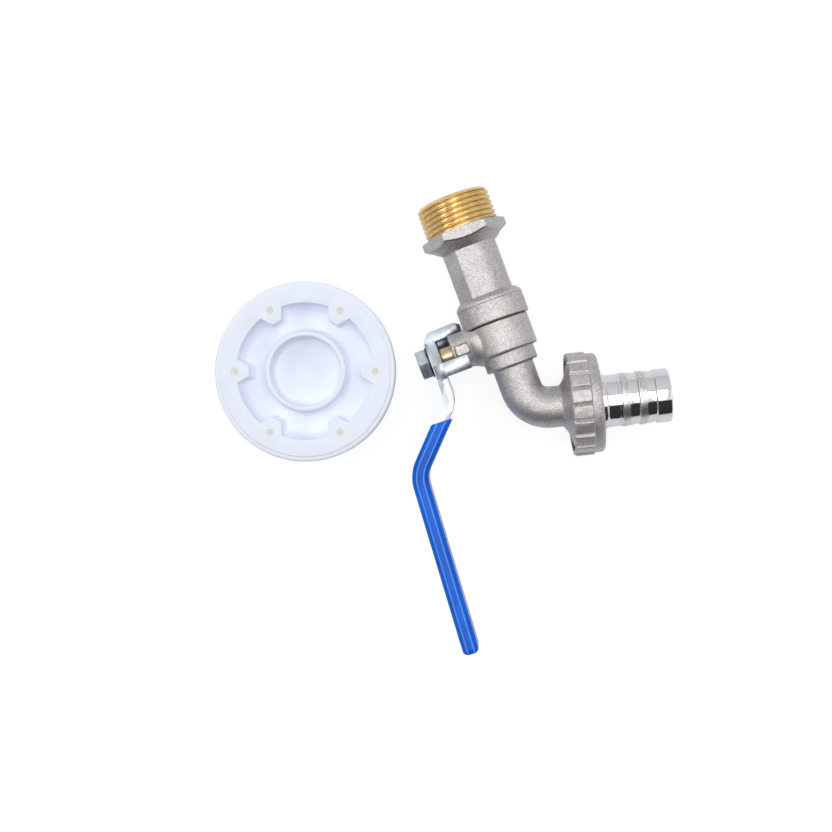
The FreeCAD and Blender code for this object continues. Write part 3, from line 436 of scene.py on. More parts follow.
def flatten_sides(
    bm, low, high, sides, width, first, round_over, corner_round, right_round, fade=None, lined=None
):
    """Cuts flats round the x axis between low and high; first is the angle of one flat's middle.

    The corners on the picture's right have their own rounding. fade holds a place and a growth per
    millimetre: beyond the place the flats run out. Below lined, the edge of the flat that faces up
    is painted dark, a line of painted shade."""
    if lined:
        wear_and_painted_light = bm.verts.layers.float.new(PAINTED_LIGHT)
    sector = 2 * math.pi / sides
    for vert in bm.verts:
        x, y, z = vert.co
        if not low < x < high:
            continue
        radius = math.hypot(y, z)
        angle = math.atan2(z, y)
        off = (angle - first + sector / 2) % sector - sector / 2
        across = width + (max(0.0, x - fade[0]) * fade[1] if fade else 0.0)
        near = across / 2 / math.cos(off)
        other = across / 2 / math.cos(sector - abs(off))
        flat = soft_min(near, other, corner_round if y > -1.0 else right_round)
        # Painted shade: a dark line along the lower edge of the flat that faces up.
        if lined and x < lined and z > 0.86 * radius:
            vert[wear_and_painted_light] = max(0.0, min(1.0, 1.6 - abs(radius - flat) / 0.4))
        if radius > flat - round_over:
            factor = soft_min(radius, flat, round_over) / radius
            vert.co = (x, y * factor, z * factor)


def roughen(bm, amount, size, seed):
    """Moves points along their normals by smooth noise, as a casting's skin is uneven."""
    bm.normal_update()
    shift = Vector((seed * 13.7, seed * 7.1, seed * 3.3))
    moves = [(v, v.normal * amount * noise.noise(v.co / size + shift)) for v in bm.verts]
    for vert, move in moves:
        vert.co += move


def to_object(name, bm, matrix, material, body, replaces=(), smooth=35):
    """Places the shape in the scene, smooth but for edges sharper than smooth degrees, gives it its
    finish and hands it to the frame."""
    mesh = bpy.data.meshes.new(name)
    moved(bm, matrix).to_mesh(mesh)
    bm.free()
    for polygon in mesh.polygons:
        polygon.use_smooth = True
    mesh.set_sharp_from_angle(angle=math.radians(smooth))
    piece = bpy.data.objects.new(name, mesh)
    bpy.context.collection.objects.link(piece)
    mesh.materials.clear()
    mesh.materials.append(FINISH[material])
    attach(piece, body)
    if replaces:
        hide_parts(*replaces)
    return piece


def scratch(bm, name="scratch"):
    """A temporary object for modifiers, in millimetres."""
    mesh = bpy.data.meshes.new(name)
    bm.to_mesh(mesh)
    bm.free()
    item = bpy.data.objects.new(name, mesh)
    bpy.context.collection.objects.link(item)
    return item


def baked(item):
    """The object's mesh with its modifiers applied, as a bmesh; the object is removed."""
    depsgraph = bpy.context.evaluated_depsgraph_get()
    mesh = bpy.data.meshes.new_from_object(item.evaluated_get(depsgraph))
    bm = bmesh.new()
    bm.from_mesh(mesh)
    bpy.data.objects.remove(item, do_unlink=True)
    bpy.data.meshes.remove(mesh)
    return bm


def joined(parts):
    """Several shapes in one bmesh."""
    whole = bmesh.new()
    for part in parts:
        mesh = bpy.data.meshes.new("part")
        part.to_mesh(mesh)
        part.free()
        whole.from_mesh(mesh)
        bpy.data.meshes.remove(mesh)
    return whole


def copied(node, rounding, segments=3, sharp=25.0):
    """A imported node's shape in millimetres of the frame, its triangles joined to faces and its edges
    that turn by more than sharp degrees rounded."""
    bm = bmesh.new()
    bm.from_mesh(frame["nodes"][node].data)
    bmesh.ops.scale(bm, verts=list(bm.verts), vec=(1000, 1000, 1000))
    bmesh.ops.remove_doubles(bm, verts=list(bm.verts), dist=0.001)
    bmesh.ops.dissolve_limit(
        bm, angle_limit=math.radians(1.0), use_dissolve_boundaries=False, verts=list(bm.verts),
        edges=list(bm.edges), delimit=set(),
    )
    bm.normal_update()
    chosen = [edge for edge in bm.edges if edge.is_manifold and edge.calc_face_angle() > math.radians(sharp)]
    rounded(bm, chosen, rounding, segments, clamp=True)
    tidy(bm)
    return bm


def fused(parts, voxel, smoothing):
    """Overlapping closed shapes grown together into one skin with softened joints."""
    item = scratch(joined(parts))
    remesh = item.modifiers.new("fuse", "REMESH")
    remesh.mode = "VOXEL"
    remesh.voxel_size = voxel
    soften = item.modifiers.new("soften", "SMOOTH")
    soften.factor = 0.5
    soften.iterations = smoothing
    return baked(item)


def hollowed(bm, cutters, operation="DIFFERENCE"):
    """bm with the cutters' shapes taken out, or grown together with them."""
    item = scratch(bm)
    tools = [scratch(cutter, "cutter") for cutter in cutters]
    for tool in tools:
        cut = item.modifiers.new("cut", "BOOLEAN")
        cut.operation = operation
        cut.solver = "EXACT"
        cut.object = tool
    result = baked(item)
    for tool in tools:
        bpy.data.objects.remove(tool, do_unlink=True)
    return result


def moved(bm, matrix):
    """bm with its points moved by the matrix."""
    bmesh.ops.transform(bm, matrix=matrix, verts=list(bm.verts))
    return bm


def pipe(radius, start, end, steps=64):
    """Bent round bar along the spout's centre line, from y = -start to the outlet distance end."""
    tangent = SPOUT_BEND * math.tan(OUTLET_ANGLE / 2)
    bm = bmesh.new()
    bmesh.ops.create_circle(bm, cap_ends=True, radius=radius, segments=steps)
    bmesh.ops.rotate(bm, verts=list(bm.verts), cent=(0, 0, 0), matrix=Matrix.Rotation(math.pi / 2, 3, "X"))
    bmesh.ops.translate(bm, verts=list(bm.verts), vec=(0, -start, 0))
    face = list(bm.faces)[0]
    face = pushed(bm, face, (0, start - ELBOW_CORNER + tangent, 0))
    turned_end = bmesh.ops.spin(
        bm, geom=[face], cent=(SPOUT_BEND, -ELBOW_CORNER + tangent, 0), axis=(0, 0, 1), dvec=(0, 0, 0),
        angle=OUTLET_ANGLE, steps=24, use_merge=False, use_duplicate=False, use_normal_flip=False,
    )["geom_last"]
    face = [item for item in turned_end if isinstance(item, bmesh.types.BMFace)][0]
    along = end - tangent
    pushed(bm, face, (along * math.sin(OUTLET_ANGLE), -along * math.cos(OUTLET_ANGLE), 0))
    tidy(bm)
    return bm


def pushed(bm, face, vec):
    """Extrudes a face by vec and returns the new end face."""
    made = bmesh.ops.extrude_face_region(bm, geom=[face])["geom"]
    bmesh.ops.translate(bm, verts=[v for v in made if isinstance(v, bmesh.types.BMVert)], vec=vec)
    return [item for item in made if isinstance(item, bmesh.types.BMFace)][0]


def slab(half_x, half_y, low, high, rounding):
    """Block with rounded upright edges."""
    bm = bmesh.new()
    bmesh.ops.create_cube(bm, size=1.0)
    bmesh.ops.scale(bm, verts=list(bm.verts), vec=(2 * half_x, 2 * half_y, high - low))
    bmesh.ops.translate(bm, verts=list(bm.verts), vec=(0, 0, (high + low) / 2))
    upright = [e for e in bm.edges if abs(e.verts[0].co.z - e.verts[1].co.z) > 0.01]
    rounded(bm, upright, rounding, 5)
    return bm


# What a user would change


class TapColours(PropertyGroup):
    """Colours of the tap's finishes."""

    nickel: FloatVectorProperty(
        name="Cast nickel", description="Tint of the plated castings", subtype="COLOR", size=3,
        default=(0.71, 0.68, 0.67), min=0.0, max=1.0,
    )
    brass: FloatVectorProperty(
        name="Bare brass", description="Tint of the unplated brass", subtype="COLOR", size=3,
        default=(0.96, 0.78, 0.46), min=0.0, max=1.0,
    )
    zinc: FloatVectorProperty(
        name="Zinc plate", description="Tint of the pressed lever", subtype="COLOR", size=3,
        default=(0.75, 0.80, 0.85), min=0.0, max=1.0,
    )
    sleeve: FloatVectorProperty(
        name="Sleeve", description="Colour of the dipped sleeve", subtype="COLOR", size=3,
        default=(0.0, 0.125, 0.72), min=0.0, max=1.0,
    )
    bung: FloatVectorProperty(
        name="Bung", description="Colour of the moulded bung", subtype="COLOR", size=3,
        default=(0.79, 0.83, 0.94), min=0.0, max=1.0,
    )


class TapSizes(PropertyGroup):
    """Sizes of the pieces that are drawn here, in the real tap's measures."""

    thread_radius: FloatProperty(
        name="Inlet thread radius", description="Outside radius of the drum thread", default=0.01322,
        unit="LENGTH",
    )
    thread_pitch: FloatProperty(
        name="Inlet thread pitch", description="Distance between two turns", default=0.001814,
        unit="LENGTH",
    )
    casting_noise: FloatProperty(
        name="Casting unevenness", description="How far the cast skin wanders", default=0.00006,
        unit="LENGTH",
    )
    camera_height: FloatProperty(
        name="Camera height", description="Height of the camera over the tap's axis", default=0.45,
        unit="LENGTH",
    )


# Stage


class DRUMTAP_OT_stage(Operator):
    """Floor, soft studio light and the camera that looks straight down"""

    bl_idname = "drumtap.stage"
    bl_label = "Stage"

    def execute(self, context):
        scene = context.scene
        scene.view_settings.view_transform = "Standard"
        build_world(scene)
        build_floor()
        build_lamps()
        build_camera(scene)
        return {"FINISHED"}


def build_world(scene):
    """White for the camera; else a pale sky, brightest overhead, with a dark wall on the
    side that the picture has below, and a thin dark edge beside the overhead lamp."""
    world = bpy.data.worlds.new("studio")
    scene.world = world
    world.use_nodes = True
    tree = world.node_tree
    background = tree.nodes["Background"]
    output = tree.nodes["World Output"]
    coordinates = tree.nodes.new("ShaderNodeTexCoord")

    ranged = partial(range_node, tree)
    combined = partial(maths_node, tree)

    def toward(direction):
        return along_node(tree, coordinates.outputs["Generated"], direction.normalized())

    across = Vector((OUTLET_AXIS.y, -OUTLET_AXIS.x, 0))
    up = Vector((0, 0, 1))
    height = ranged(toward(up), 0.0, 0.95, 0.60, 0.80)
    low = ranged(toward(across - 0.4 * up), 0.0, 0.03, 0.0, 0.95)
    above = ranged(toward(up), 0.0, 0.04, 0.0, 1.0)
    beside = ranged(combined("ABSOLUTE", toward(OUTLET_AXIS), 0.0), 0.66, 0.74, 1.0, 0.0)
    wall = combined("MULTIPLY", combined("MULTIPLY", low, above), beside)
    edge = ranged(combined("ABSOLUTE", combined("ADD", toward(across), 0.41), 0.0), 0.012, 0.022, 0.65, 0.0)
    shade = combined("SUBTRACT", 1.0, combined("MAXIMUM", wall, edge))
    background.inputs["Color"].default_value = (0.98, 0.99, 1.0, 1)
    tree.links.new(combined("MULTIPLY", height, shade), background.inputs["Strength"])
    white = tree.nodes.new("ShaderNodeBackground")
    white.inputs["Color"].default_value = (1, 1, 1, 1)
    path = tree.nodes.new("ShaderNodeLightPath")
    mix = tree.nodes.new("ShaderNodeMixShader")
    tree.links.new(path.outputs["Is Camera Ray"], mix.inputs["Fac"])
    tree.links.new(background.outputs["Background"], mix.inputs[1])
    tree.links.new(white.outputs["Background"], mix.inputs[2])
    tree.links.new(mix.outputs["Shader"], output.inputs["Surface"])


# How far the floor lies under the pieces, in metres, how much of it the camera sees as plain white, and
# how bright that white is.
FLOOR_DROP = 0.0002
WHITE_SHARE = 0.75
WHITE_GLOW = 1.15


def build_floor():
    """White table top; the camera sees it mostly as plain white, so only soft shadows show."""
    bm = bmesh.new()
    bmesh.ops.create_grid(bm, x_segments=1, y_segments=1, size=3.0)
    mesh = bpy.data.meshes.new("table_top")
    bm.to_mesh(mesh)
    bm.free()
    floor = bpy.data.objects.new("table_top", mesh)
    floor.location.z = -FLOOR_DROP
    bpy.context.collection.objects.link(floor)
    material = bpy.data.materials.new("table_white")
    material.use_nodes = True
    tree = material.node_tree
    shader = tree.nodes["Principled BSDF"]
    shader.inputs["Base Color"].default_value = (0.80, 0.81, 0.83, 1)
    shader.inputs["Roughness"].default_value = 0.7
    glow = tree.nodes.new("ShaderNodeEmission")
    glow.inputs["Strength"].default_value = WHITE_GLOW
    path = tree.nodes.new("ShaderNodeLightPath")
    share = tree.nodes.new("ShaderNodeMath")
    share.operation = "MULTIPLY"
    share.inputs[1].default_value = WHITE_SHARE
    seen = tree.nodes.new("ShaderNodeMixShader")
    tree.links.new(path.outputs["Is Camera Ray"], share.inputs[0])
    tree.links.new(share.outputs[0], seen.inputs["Fac"])
    tree.links.new(shader.outputs[0], seen.inputs[1])
    tree.links.new(glow.outputs[0], seen.inputs[2])
    tree.links.new(seen.outputs[0], tree.nodes["Material Output"].inputs["Surface"])
    mesh.materials.append(material)


def build_lamps():
    """A soft box overhead and two strips high on the picture's left and right."""
    centre = TAP.translation
    left = Vector((-math.cos(PICTURE_TURN), math.sin(PICTURE_TURN), 0))
    up = Vector((math.sin(PICTURE_TURN), math.cos(PICTURE_TURN), 0))
    for name, place, wide, tall, power in (
        ("overhead", (-0.06, 0.03, 1.0), 0.52, 0.75, 3.4),
        ("left_strip", (0.72, 0.1, 0.75), 0.10, 0.7, 1.7),
        ("right_strip", (-0.8, 0.1, 0.62), 0.08, 0.7, 0.7),
    ):
        lamp = bpy.data.lights.new(name, "AREA")
        lamp.shape = "RECTANGLE"
        lamp.size, lamp.size_y = wide, tall
        lamp.energy = power
        lamp.color = (1.0, 0.99, 0.98)
        item = bpy.data.objects.new(name, lamp)
        item.location = centre + left * place[0] + up * place[1] + Vector((0, 0, place[2]))
        back = (item.location - centre).normalized()
        side = up.cross(back).normalized()
        item.rotation_mode = "QUATERNION"
        item.rotation_quaternion = Matrix((side, back.cross(side), back)).transposed().to_quaternion()
        bpy.context.collection.objects.link(item)


def build_camera(scene):
    """Straight above the tap, turned so that it leans as in the photograph, the view shifted to take in
    the bung."""
    sizes = scene.tap_sizes
    camera = bpy.data.cameras.new("camera")
    camera.sensor_width = 36
    camera.lens = camera.sensor_width * sizes.camera_height / PICTURE_WIDTH
    camera.shift_x, camera.shift_y = VIEW_SHIFT
    item = bpy.data.objects.new("camera", camera)
    bpy.context.collection.objects.link(item)
    origin = TAP.translation
    beside_x, beside_y = VIEW_OFFSET
    item.location = (origin.x + beside_x, origin.y + beside_y, origin.z + sizes.camera_height)
    item.rotation_euler = (0, 0, -PICTURE_TURN)
    scene.camera = item


# Pieces of the tap


class DRUMTAP_OT_inlet(Operator):
    """Inlet end piece with its hexagon, neck and collar, and the bare brass thread"""

    bl_idname = "drumtap.inlet"
    bl_label = "Inlet end"

    def execute(self, context):
        sizes = context.scene.tap_sizes
        bm = turned(INLET_PROFILE, steps=192, step=0.4, outside=8.9)
        flatten_sides(
            bm, 15.35, 36.05, sides=8, width=19.2, first=math.radians(-8.4), round_over=0.12,
            corner_round=0.10, right_round=2.4, fade=(33.4, 2.8),
        )
        flatten_sides(
            bm, 35.7, 40.4, sides=6, width=27.0, first=math.radians(30), round_over=0.12,
            corner_round=0.15, right_round=0.25, lined=37.3,
        )
        roughen(bm, sizes.casting_noise * 1000, size=2.2, seed=1)
        to_object("inlet_end_cast", bm, TAP @ TO_INLET, "cast", "tap", ("inlet_end",))
        thread = male_thread(
            sizes.thread_radius * 1000, sizes.thread_pitch * 1000, depth=0.95, start=40.15, end=52.1,
            lead=1.2, bore=9.52,
        )
        to_object("inlet_thread_brass", thread, TAP @ TO_INLET, "thread", "tap", smooth=50)
        return {"FINISHED"}


# Profiles are lists of (place along the axis, radius[, rounding]), in millimetres.
INLET_PROFILE = [
    (9.4, 5.6), (9.4, 8.84), (13.4, 8.84), (13.4, 10.73), (5.6, 10.73),
    (5.6, 12.3, 0.3), (12.5, 12.3), (12.65, 12.14), (12.8, 12.3), (13.6, 12.3, 0.5), (15.3, 10.75, 0.2),
    (15.45, 10.45, 0.1), (33.6, 10.45), (35.9, 12.9), (36.1, 13.4), (37.35, 15.65), (39.87, 15.65),
    (40.2, 13.3, 0.2), (40.2, 12.0), (52.0, 12.0), (52.0, 9.5), (44.0, 9.5), (42.0, 6.8), (18.0, 6.8),
    (16.0, 5.6),
]
THREAD_WALL = 0.8


def male_thread(radius, pitch, depth, start, end, lead, bore, steps=160, rows=20):
    """Helical thread on a sleeve round the x axis, with a lead-in chamfer at its end.

    phase is 0 in the middle of a groove and 1 in the middle of a crest, whose middle is cut down a
    little. The grooves are painted dark as painted shade, and the notches in the crests a little."""
    count = int((end - start) / pitch * rows)
    outer = [(start + (end - start) * i / count, radius) for i in range(count + 1)]
    bm = turned([(start, bore), *outer, (end, bore)], steps=steps)
    depths = bm.verts.layers.float.new(PAINTED_LIGHT)
    for vert in bm.verts:
        x, y, z = vert.co
        if math.hypot(y, z) < radius - 0.01:
            continue
        turn = math.atan2(z, y) / (2 * math.pi)
        phase = abs(((x - start) / pitch - turn) % 1.0 * 2 - 1)
        flank = max(0.0, min(1.0, (phase - 0.04) / 0.6)) - (0.3 if phase > 0.82 else 0.0)
        limit = min(radius, radius - lead + (end - x))
        new = max(bore + THREAD_WALL, min(radius - depth * (1 - flank), limit))
        factor = new / radius
        vert.co = (x, y * factor, z * factor)
        # Painted shade in the grooves, and lighter painted shade in the crest notches.
        vert[depths] = max(1 - 3.5 * phase, 0.6 if phase > 0.88 else 0.0)
    return bm


class DRUMTAP_OT_body(Operator):
    """Cast valve body with gland boss, stop lug, bent spout and threaded flare"""

    bl_idname = "drumtap.body"
    bl_label = "Valve body"

    def execute(self, context):
        sizes = context.scene.tap_sizes
        chamber = moved(turned(CHAMBER_PROFILE, 128), TO_INLET)
        boss = moved(turned(BOSS_PROFILE, 96), TO_LEVER)
        flare = moved(turned(FLARE_PROFILE, 128), TO_OUTLET)
        lug = moved(slab(*LUG_HALF, 0.0, LUG_TOP, LUG_ROUND), Matrix.Translation((LUG_PLACE, 0, 0)))
        spout = pipe(radius=7.4, start=9.3, end=13.6)
        skin = fused([chamber, boss, flare, lug, spout], voxel=0.26, smoothing=3)
        roughen(skin, sizes.casting_noise * 1000, size=2.2, seed=2)
        way = pipe(radius=5.6, start=8.4, end=22.4)
        cavity = moved(turned(CAVITY_PROFILE, 96), TO_INLET)
        gland = moved(turned(GLAND_PROFILE, 96), TO_LEVER)
        body = hollowed(skin, [way, cavity, gland])
        paint_lug(body)
        to_object("valve_body_cast", body, TAP, "cast_stained", "tap", ("valve_body",), 50)
        return {"FINISHED"}


def paint_lug(bm):
    """Paints a dark brown line round the stop lug's top face: painted shade on its rounded rim."""
    wear_and_painted_light = bm.verts.layers.float.new(PAINTED_LIGHT)
    for vert in bm.verts:
        x, y, z = vert.co
        if z < LUG_TOP - 1.3:
            continue
        dx = abs(x - LUG_PLACE) - (LUG_HALF[0] - LUG_ROUND)
        dy = abs(y) - (LUG_HALF[1] - LUG_ROUND)
        edge = math.hypot(max(dx, 0.0), max(dy, 0.0)) + min(max(dx, dy), 0.0) - LUG_ROUND
        vert[wear_and_painted_light] = max(0.0, 1.0 - abs(edge + 0.1) / 0.42)


CHAMBER_PROFILE = [
    (12.6, 0), (12.6, 10.7), (5.1, 10.7), (5.1, 11.3, 0.2), (-6.1, 11.3, 0.6), (-6.1, 9.5, 0.2),
    (-11.3, 9.5, 0.5), (-11.3, 0),
]
BOSS_PROFILE = [
    (0, 0), (0, 8.2), (9.3, 8.2), (10.6, 7.8, 0.8), (12.4, 6.65, 1.0), (18.6, 6.65, 0.5), (18.6, 0),
]
FLARE_PROFILE = [
    (9.0, 0), (9.0, 6.8), (11.6, 7.4), (13.2, 9.4, 1.5), (15.6, 16.4, 0.3), (16.0, 16.62),
    (20.8, 16.62), (21.4, 15.8), (21.4, 0),
]
CAVITY_PROFILE = [(14.4, 0), (14.4, 8.9), (-4.6, 8.9), (-4.6, 7.63), (-9.4, 7.63), (-9.4, 0)]
GLAND_PROFILE = [(0, 0), (19.6, 0), (19.6, 3.33), (11.8, 3.33), (11.8, 5.03), (0, 5.03)]

# The stop lug on the gland boss: its place toward the lever, its half sizes, top and corner rounding.
LUG_PLACE = -14.95
LUG_HALF = (2.55, 1.9)
LUG_TOP = 9.9
LUG_ROUND = 0.9


class DRUMTAP_OT_handle(Operator):
    """Pressed lever, its hexagon nut and lock washer, the stem and the dipped sleeve"""

    bl_idname = "drumtap.handle"
    bl_label = "Lever"

    def execute(self, context):
        lever = copied("lever", 0.45)
        slant_end_tab(lever)
        to_object("lever_pressed", lever, MILLIMETRES, "zinc", "handle", ("lever",), 50)
        nut = copied("lever_nut", 0.2)
        to_object("lever_nut_hex", nut, MILLIMETRES, "nut", "handle", ("lever_nut",))
        # Its near-black finish is painted shade for the shadow under the nut.
        washer = moved(toothed_washer(low=27.0, high=27.7, bore=3.2, radius=5.5, teeth=12), TO_LEVER)
        to_object("lever_washer_toothed", washer, TAP, "dark", "handle", ("lever_washer",))
        to_object("stem_turned", copied("stem", 0.12, 2), MILLIMETRES, "stem", "handle", ("stem",))
        to_object(
            "lever_sleeve_dipped", dipped_sleeve(), TAP, "vinyl", "handle",
            ("lever_sleeve",), 60,
        )
        return {"FINISHED"}


# The slant of the end tab's cut: how far its lower edge is moved, and where and over what height.
TAB_SLANT = 1.3
TAB_TOP = -2.4
TAB_HEIGHT = 6.9


def slant_end_tab(bm):
    """The end tab is sheared off at a slant, its lower corner nearer the body. The cut and the
    far tab are painted dark as painted shade, and the plate between the tabs a little, as a painted darker
    reflection."""
    origin = TAP.translation * 1000
    wear_and_painted_light = bm.verts.layers.float.new(PAINTED_LIGHT)
    for vert in bm.verts:
        x, y, z = vert.co - origin
        # Painted shade: the cut end (1), the far tab (0.9) and the plate between the tabs (0.2).
        if x > -14.2 and y > 6.5:
            vert.co.x += TAB_SLANT * max(0.0, min(1.0, (TAB_TOP - z) / TAB_HEIGHT))
            vert[wear_and_painted_light] = 1.0
        elif z < -6.4 and abs(y) < 7.0:
            vert[wear_and_painted_light] = 0.9
        elif x < -23.0 and y > -12.0:
            vert[wear_and_painted_light] = 0.2


# A tooth's depth as a share of the washer's radius, and where in a tooth's pitch the gap starts.
TOOTH_DEPTH = 0.10
GAP_START = 0.55


def toothed_washer(low, high, bore, radius, teeth):
    """Lock washer round the x axis with small teeth on its rim."""
    bm = turned([(low, bore), (low, radius), (high, radius), (high, bore)], steps=teeth * 12)
    for vert in bm.verts:
        x, y, z = vert.co
        if math.hypot(y, z) < radius - 0.1:
            continue
        phase = math.atan2(z, y) * teeth / (2 * math.pi) % 1.0
        factor = 1 - (TOOTH_DEPTH if phase > GAP_START else 0.0)
        vert.co = (x, y * factor, z * factor)
    return bm


# The lever's centre line in the tap's frame, in millimetres: where the slanted arm starts,
# its slant and length, the bend into the grip, the grip's lean and how far down its sleeve reaches.
ARM_START = (-27.8566, -18.4466)
ARM_ANGLE = math.radians(44)
ARM_LENGTH = 20.1
GRIP_BEND = 12.0
GRIP_ANGLE = math.radians(3.6)
SLEEVE_FOOT = -101.9
DIP_DEPTH = 3.0
DIP_LIP = 0.3
STEEL_HALF = (1.95, 6.5)
SLEEVE_HALF = (3.0, 7.55)
SLEEVE_ROUND = 2.2
END_ROUND = 2.0

# The sleeve's rings: where those along the lever start, how many they are, how many make the round tip,
# and which points of a ring lie beside its narrow faces, where lines of painted highlight go.
SLEEVE_START = 7.5
SLEEVE_RINGS = 110
TIP_RINGS = 8
PAINTED_HIGHLIGHT_POINTS = (7, 10, 32, 35)


def grip_point(distance):
    """Point of the lever's centre line this far from the start of the slanted arm, and its lean there."""
    x, y = ARM_START
    straight = min(distance, ARM_LENGTH)
    x -= straight * math.sin(ARM_ANGLE)
    y -= straight * math.cos(ARM_ANGLE)
    bent = min(max(distance - ARM_LENGTH, 0.0), GRIP_BEND * (ARM_ANGLE - GRIP_ANGLE))
    lean = ARM_ANGLE - bent / GRIP_BEND
    x -= GRIP_BEND * (math.cos(lean) - math.cos(ARM_ANGLE))
    y -= GRIP_BEND * (math.sin(ARM_ANGLE) - math.sin(lean))
    rest = max(distance - ARM_LENGTH - bent, 0.0)
    return x - rest * math.sin(lean), y - rest * math.cos(lean), lean


def box_ring(half_x, half_y, rounding, corner_steps=8, side_steps=8):
    """Points of a box with round corners, anticlockwise, its long sides divided."""
    ring = []
    for quarter, (sx, sy) in enumerate(((1, 1), (-1, 1), (-1, -1), (1, -1))):
        for step in range(corner_steps + 1):
            angle = (quarter + step / corner_steps) * math.pi / 2
            ring.append((
                sx * (half_x - rounding) + rounding * math.cos(angle),
                sy * (half_y - rounding) + rounding * math.sin(angle),
            ))
        if quarter % 2:
            last = ring[-1]
            for step in range(1, side_steps):
                ring.append((last[0], last[1] - 2 * last[1] * step / side_steps))
    return ring


def dipped_sleeve():
    """The sleeve in the tap's frame: it starts with a lip level with the grip and ends in a round tip."""
    bm = bmesh.new()
    wear_and_painted_light = bm.verts.layers.float.new(PAINTED_LIGHT)
    rings = []

    def ring_at(distance, inset=0.0, level=None, inner=False):
        """Ring of points across the centre line, or slid along the arm to a level below its start."""
        half_x, half_y = STEEL_HALF if inner else SLEEVE_HALF
        rounding = 0.05 if inner else max(SLEEVE_ROUND - inset, 0.3)
        x, y, lean = grip_point(distance)
        verts = []
        for u, v in box_ring(half_x - inset, half_y - inset, rounding):
            px, py = x + u * math.cos(lean), y - u * math.sin(lean)
            if level is not None:
                dx, dy = px - ARM_START[0], py - ARM_START[1]
                below = -dx * math.sin(GRIP_ANGLE) - dy * math.cos(GRIP_ANGLE)
                slide = (level - below) / math.cos(ARM_ANGLE - GRIP_ANGLE)
                px -= slide * math.sin(ARM_ANGLE)
                py -= slide * math.cos(ARM_ANGLE)
            verts.append(bm.verts.new((px, py, v)))
        rings.append(verts)

    ring_at(0, level=DIP_DEPTH + 4, inner=True)
    ring_at(0, level=DIP_DEPTH, inner=True)
    ring_at(0, inset=DIP_LIP, level=DIP_DEPTH)
    ring_at(0, inset=DIP_LIP * 0.3, level=DIP_DEPTH + DIP_LIP * 0.3)
    ring_at(0, level=DIP_DEPTH + DIP_LIP)
    total = ARM_LENGTH + GRIP_BEND * (ARM_ANGLE - GRIP_ANGLE)
    total += (grip_point(total)[1] - SLEEVE_FOOT) / math.cos(GRIP_ANGLE)
    for index in range(SLEEVE_RINGS):
        wave = 0.05 + 0.05 * noise.noise(Vector((index * 0.21, 3.1, 0.0)))
        along = (total - END_ROUND - SLEEVE_START) * index / (SLEEVE_RINGS - 1)
        ring_at(SLEEVE_START + along, inset=wave)
    for step in range(1, TIP_RINGS + 1):
        angle = step / TIP_RINGS * math.pi / 2
        narrowing = END_ROUND * (1 - math.cos(angle)) * 0.97
        ring_at(total - END_ROUND * (1 - math.sin(angle)), inset=0.05 + narrowing)
    for first, second in zip(rings, rings[1:]):
        for index in range(len(first)):
            after = (index + 1) % len(first)
            bm.faces.new((first[index], first[after], second[after], second[index]))
    bm.faces.new(rings[0])
    bm.faces.new(rings[-1])
    # Painted highlight lines beside the narrow faces.
    for ring in rings[4:-4]:
        for index in PAINTED_HIGHLIGHT_POINTS:
            ring[index][wear_and_painted_light] = 1.0
    tidy(bm, 0.0002)
    return bm


class DRUMTAP_OT_union(Operator):
    """Union nut with its band of grip pads, and the polished hose tail"""

    bl_idname = "drumtap.union"
    bl_label = "Union and hose tail"

    def execute(self, context):
        sizes = context.scene.tap_sizes
        nut = padded_nut(20)
        roughen(nut, sizes.casting_noise * 600, size=1.5, seed=3)
        to_object("union_nut_cast", nut, TAP @ TO_OUTLET, "cast", "nut", ("union_nut",), 50)
        tail = turned(tail_profile(), 160)
        to_object("hose_tail_turned", tail, TAP @ TO_OUTLET, "tail", "tail", ("hose_tail",), 40)
        return {"FINISHED"}


# The union nut's band from NUT_START to BAND_END; a pad's half width, its rise over the gaps and the
# slope at its edges.
NUT_START = 14.5
BAND_END = 21.6
PAD_HALF = 2.4
PAD_RISE = 0.45
PAD_ROUND = 0.3
UNION_PROFILE = [
    (NUT_START, 16.66), (NUT_START, 18.02, 0.15), (BAND_END, 18.02), (21.65, 17.75), (24.5, 17.75),
    (25.4, 16.9, 0.4), (25.4, 9.84), (24.66, 9.84), (24.66, 16.66),
]


def padded_nut(pads):
    """Union nut round the x axis; the pads of its band stand up from narrow gaps, one gap facing up."""
    bm = turned(UNION_PROFILE, steps=pads * 26, step=0.35, outside=17.9)
    pitch = 2 * math.pi / pads
    for vert in bm.verts:
        x, y, z = vert.co
        radius = math.hypot(y, z)
        if radius < 17.7 or not NUT_START - 0.1 < x < BAND_END + 0.02:
            continue
        off = abs((math.atan2(z, y) - math.pi / 2) % pitch - pitch / 2) * radius
        inward = min(PAD_HALF - off, x - NUT_START, BAND_END - x)
        rise = PAD_RISE * max(-1.0, min(1.0, inward / PAD_ROUND))
        if x < NUT_START + 0.2 or x > BAND_END - 0.1:
            rise = min(rise, 0.0)
        factor = (radius + rise) / radius
        vert.co = (x, y * factor, z * factor)
    return bm


def tail_profile():
    """Hose tail from its collar in the nut to its open end. The first two of its three ridges fall away
    behind; the last runs straight to the end."""
    points = [(22.9, 6.9), (22.9, 16.3), (24.6, 16.3), (24.6, 9.8), (27.0, 9.8, 0.4), (27.8, 9.25, 0.4)]
    points += [(31.4, 9.25), (31.55, 9.0), (31.75, 9.0), (31.9, 9.25), (32.75, 9.2, 0.2)]
    for ridge in range(3):
        start = FIRST_RIDGE + ridge * RIDGE_PITCH
        points += [(start, 9.6, 0.15)]
        if ridge < 2:
            points += [(start + 0.8, 9.6, 0.3), (start + RIDGE_PITCH - 0.35, 9.02, 0.1)]
    return points + [(50.2, 9.55, 0.6), (50.2, 6.9, 0.3)]


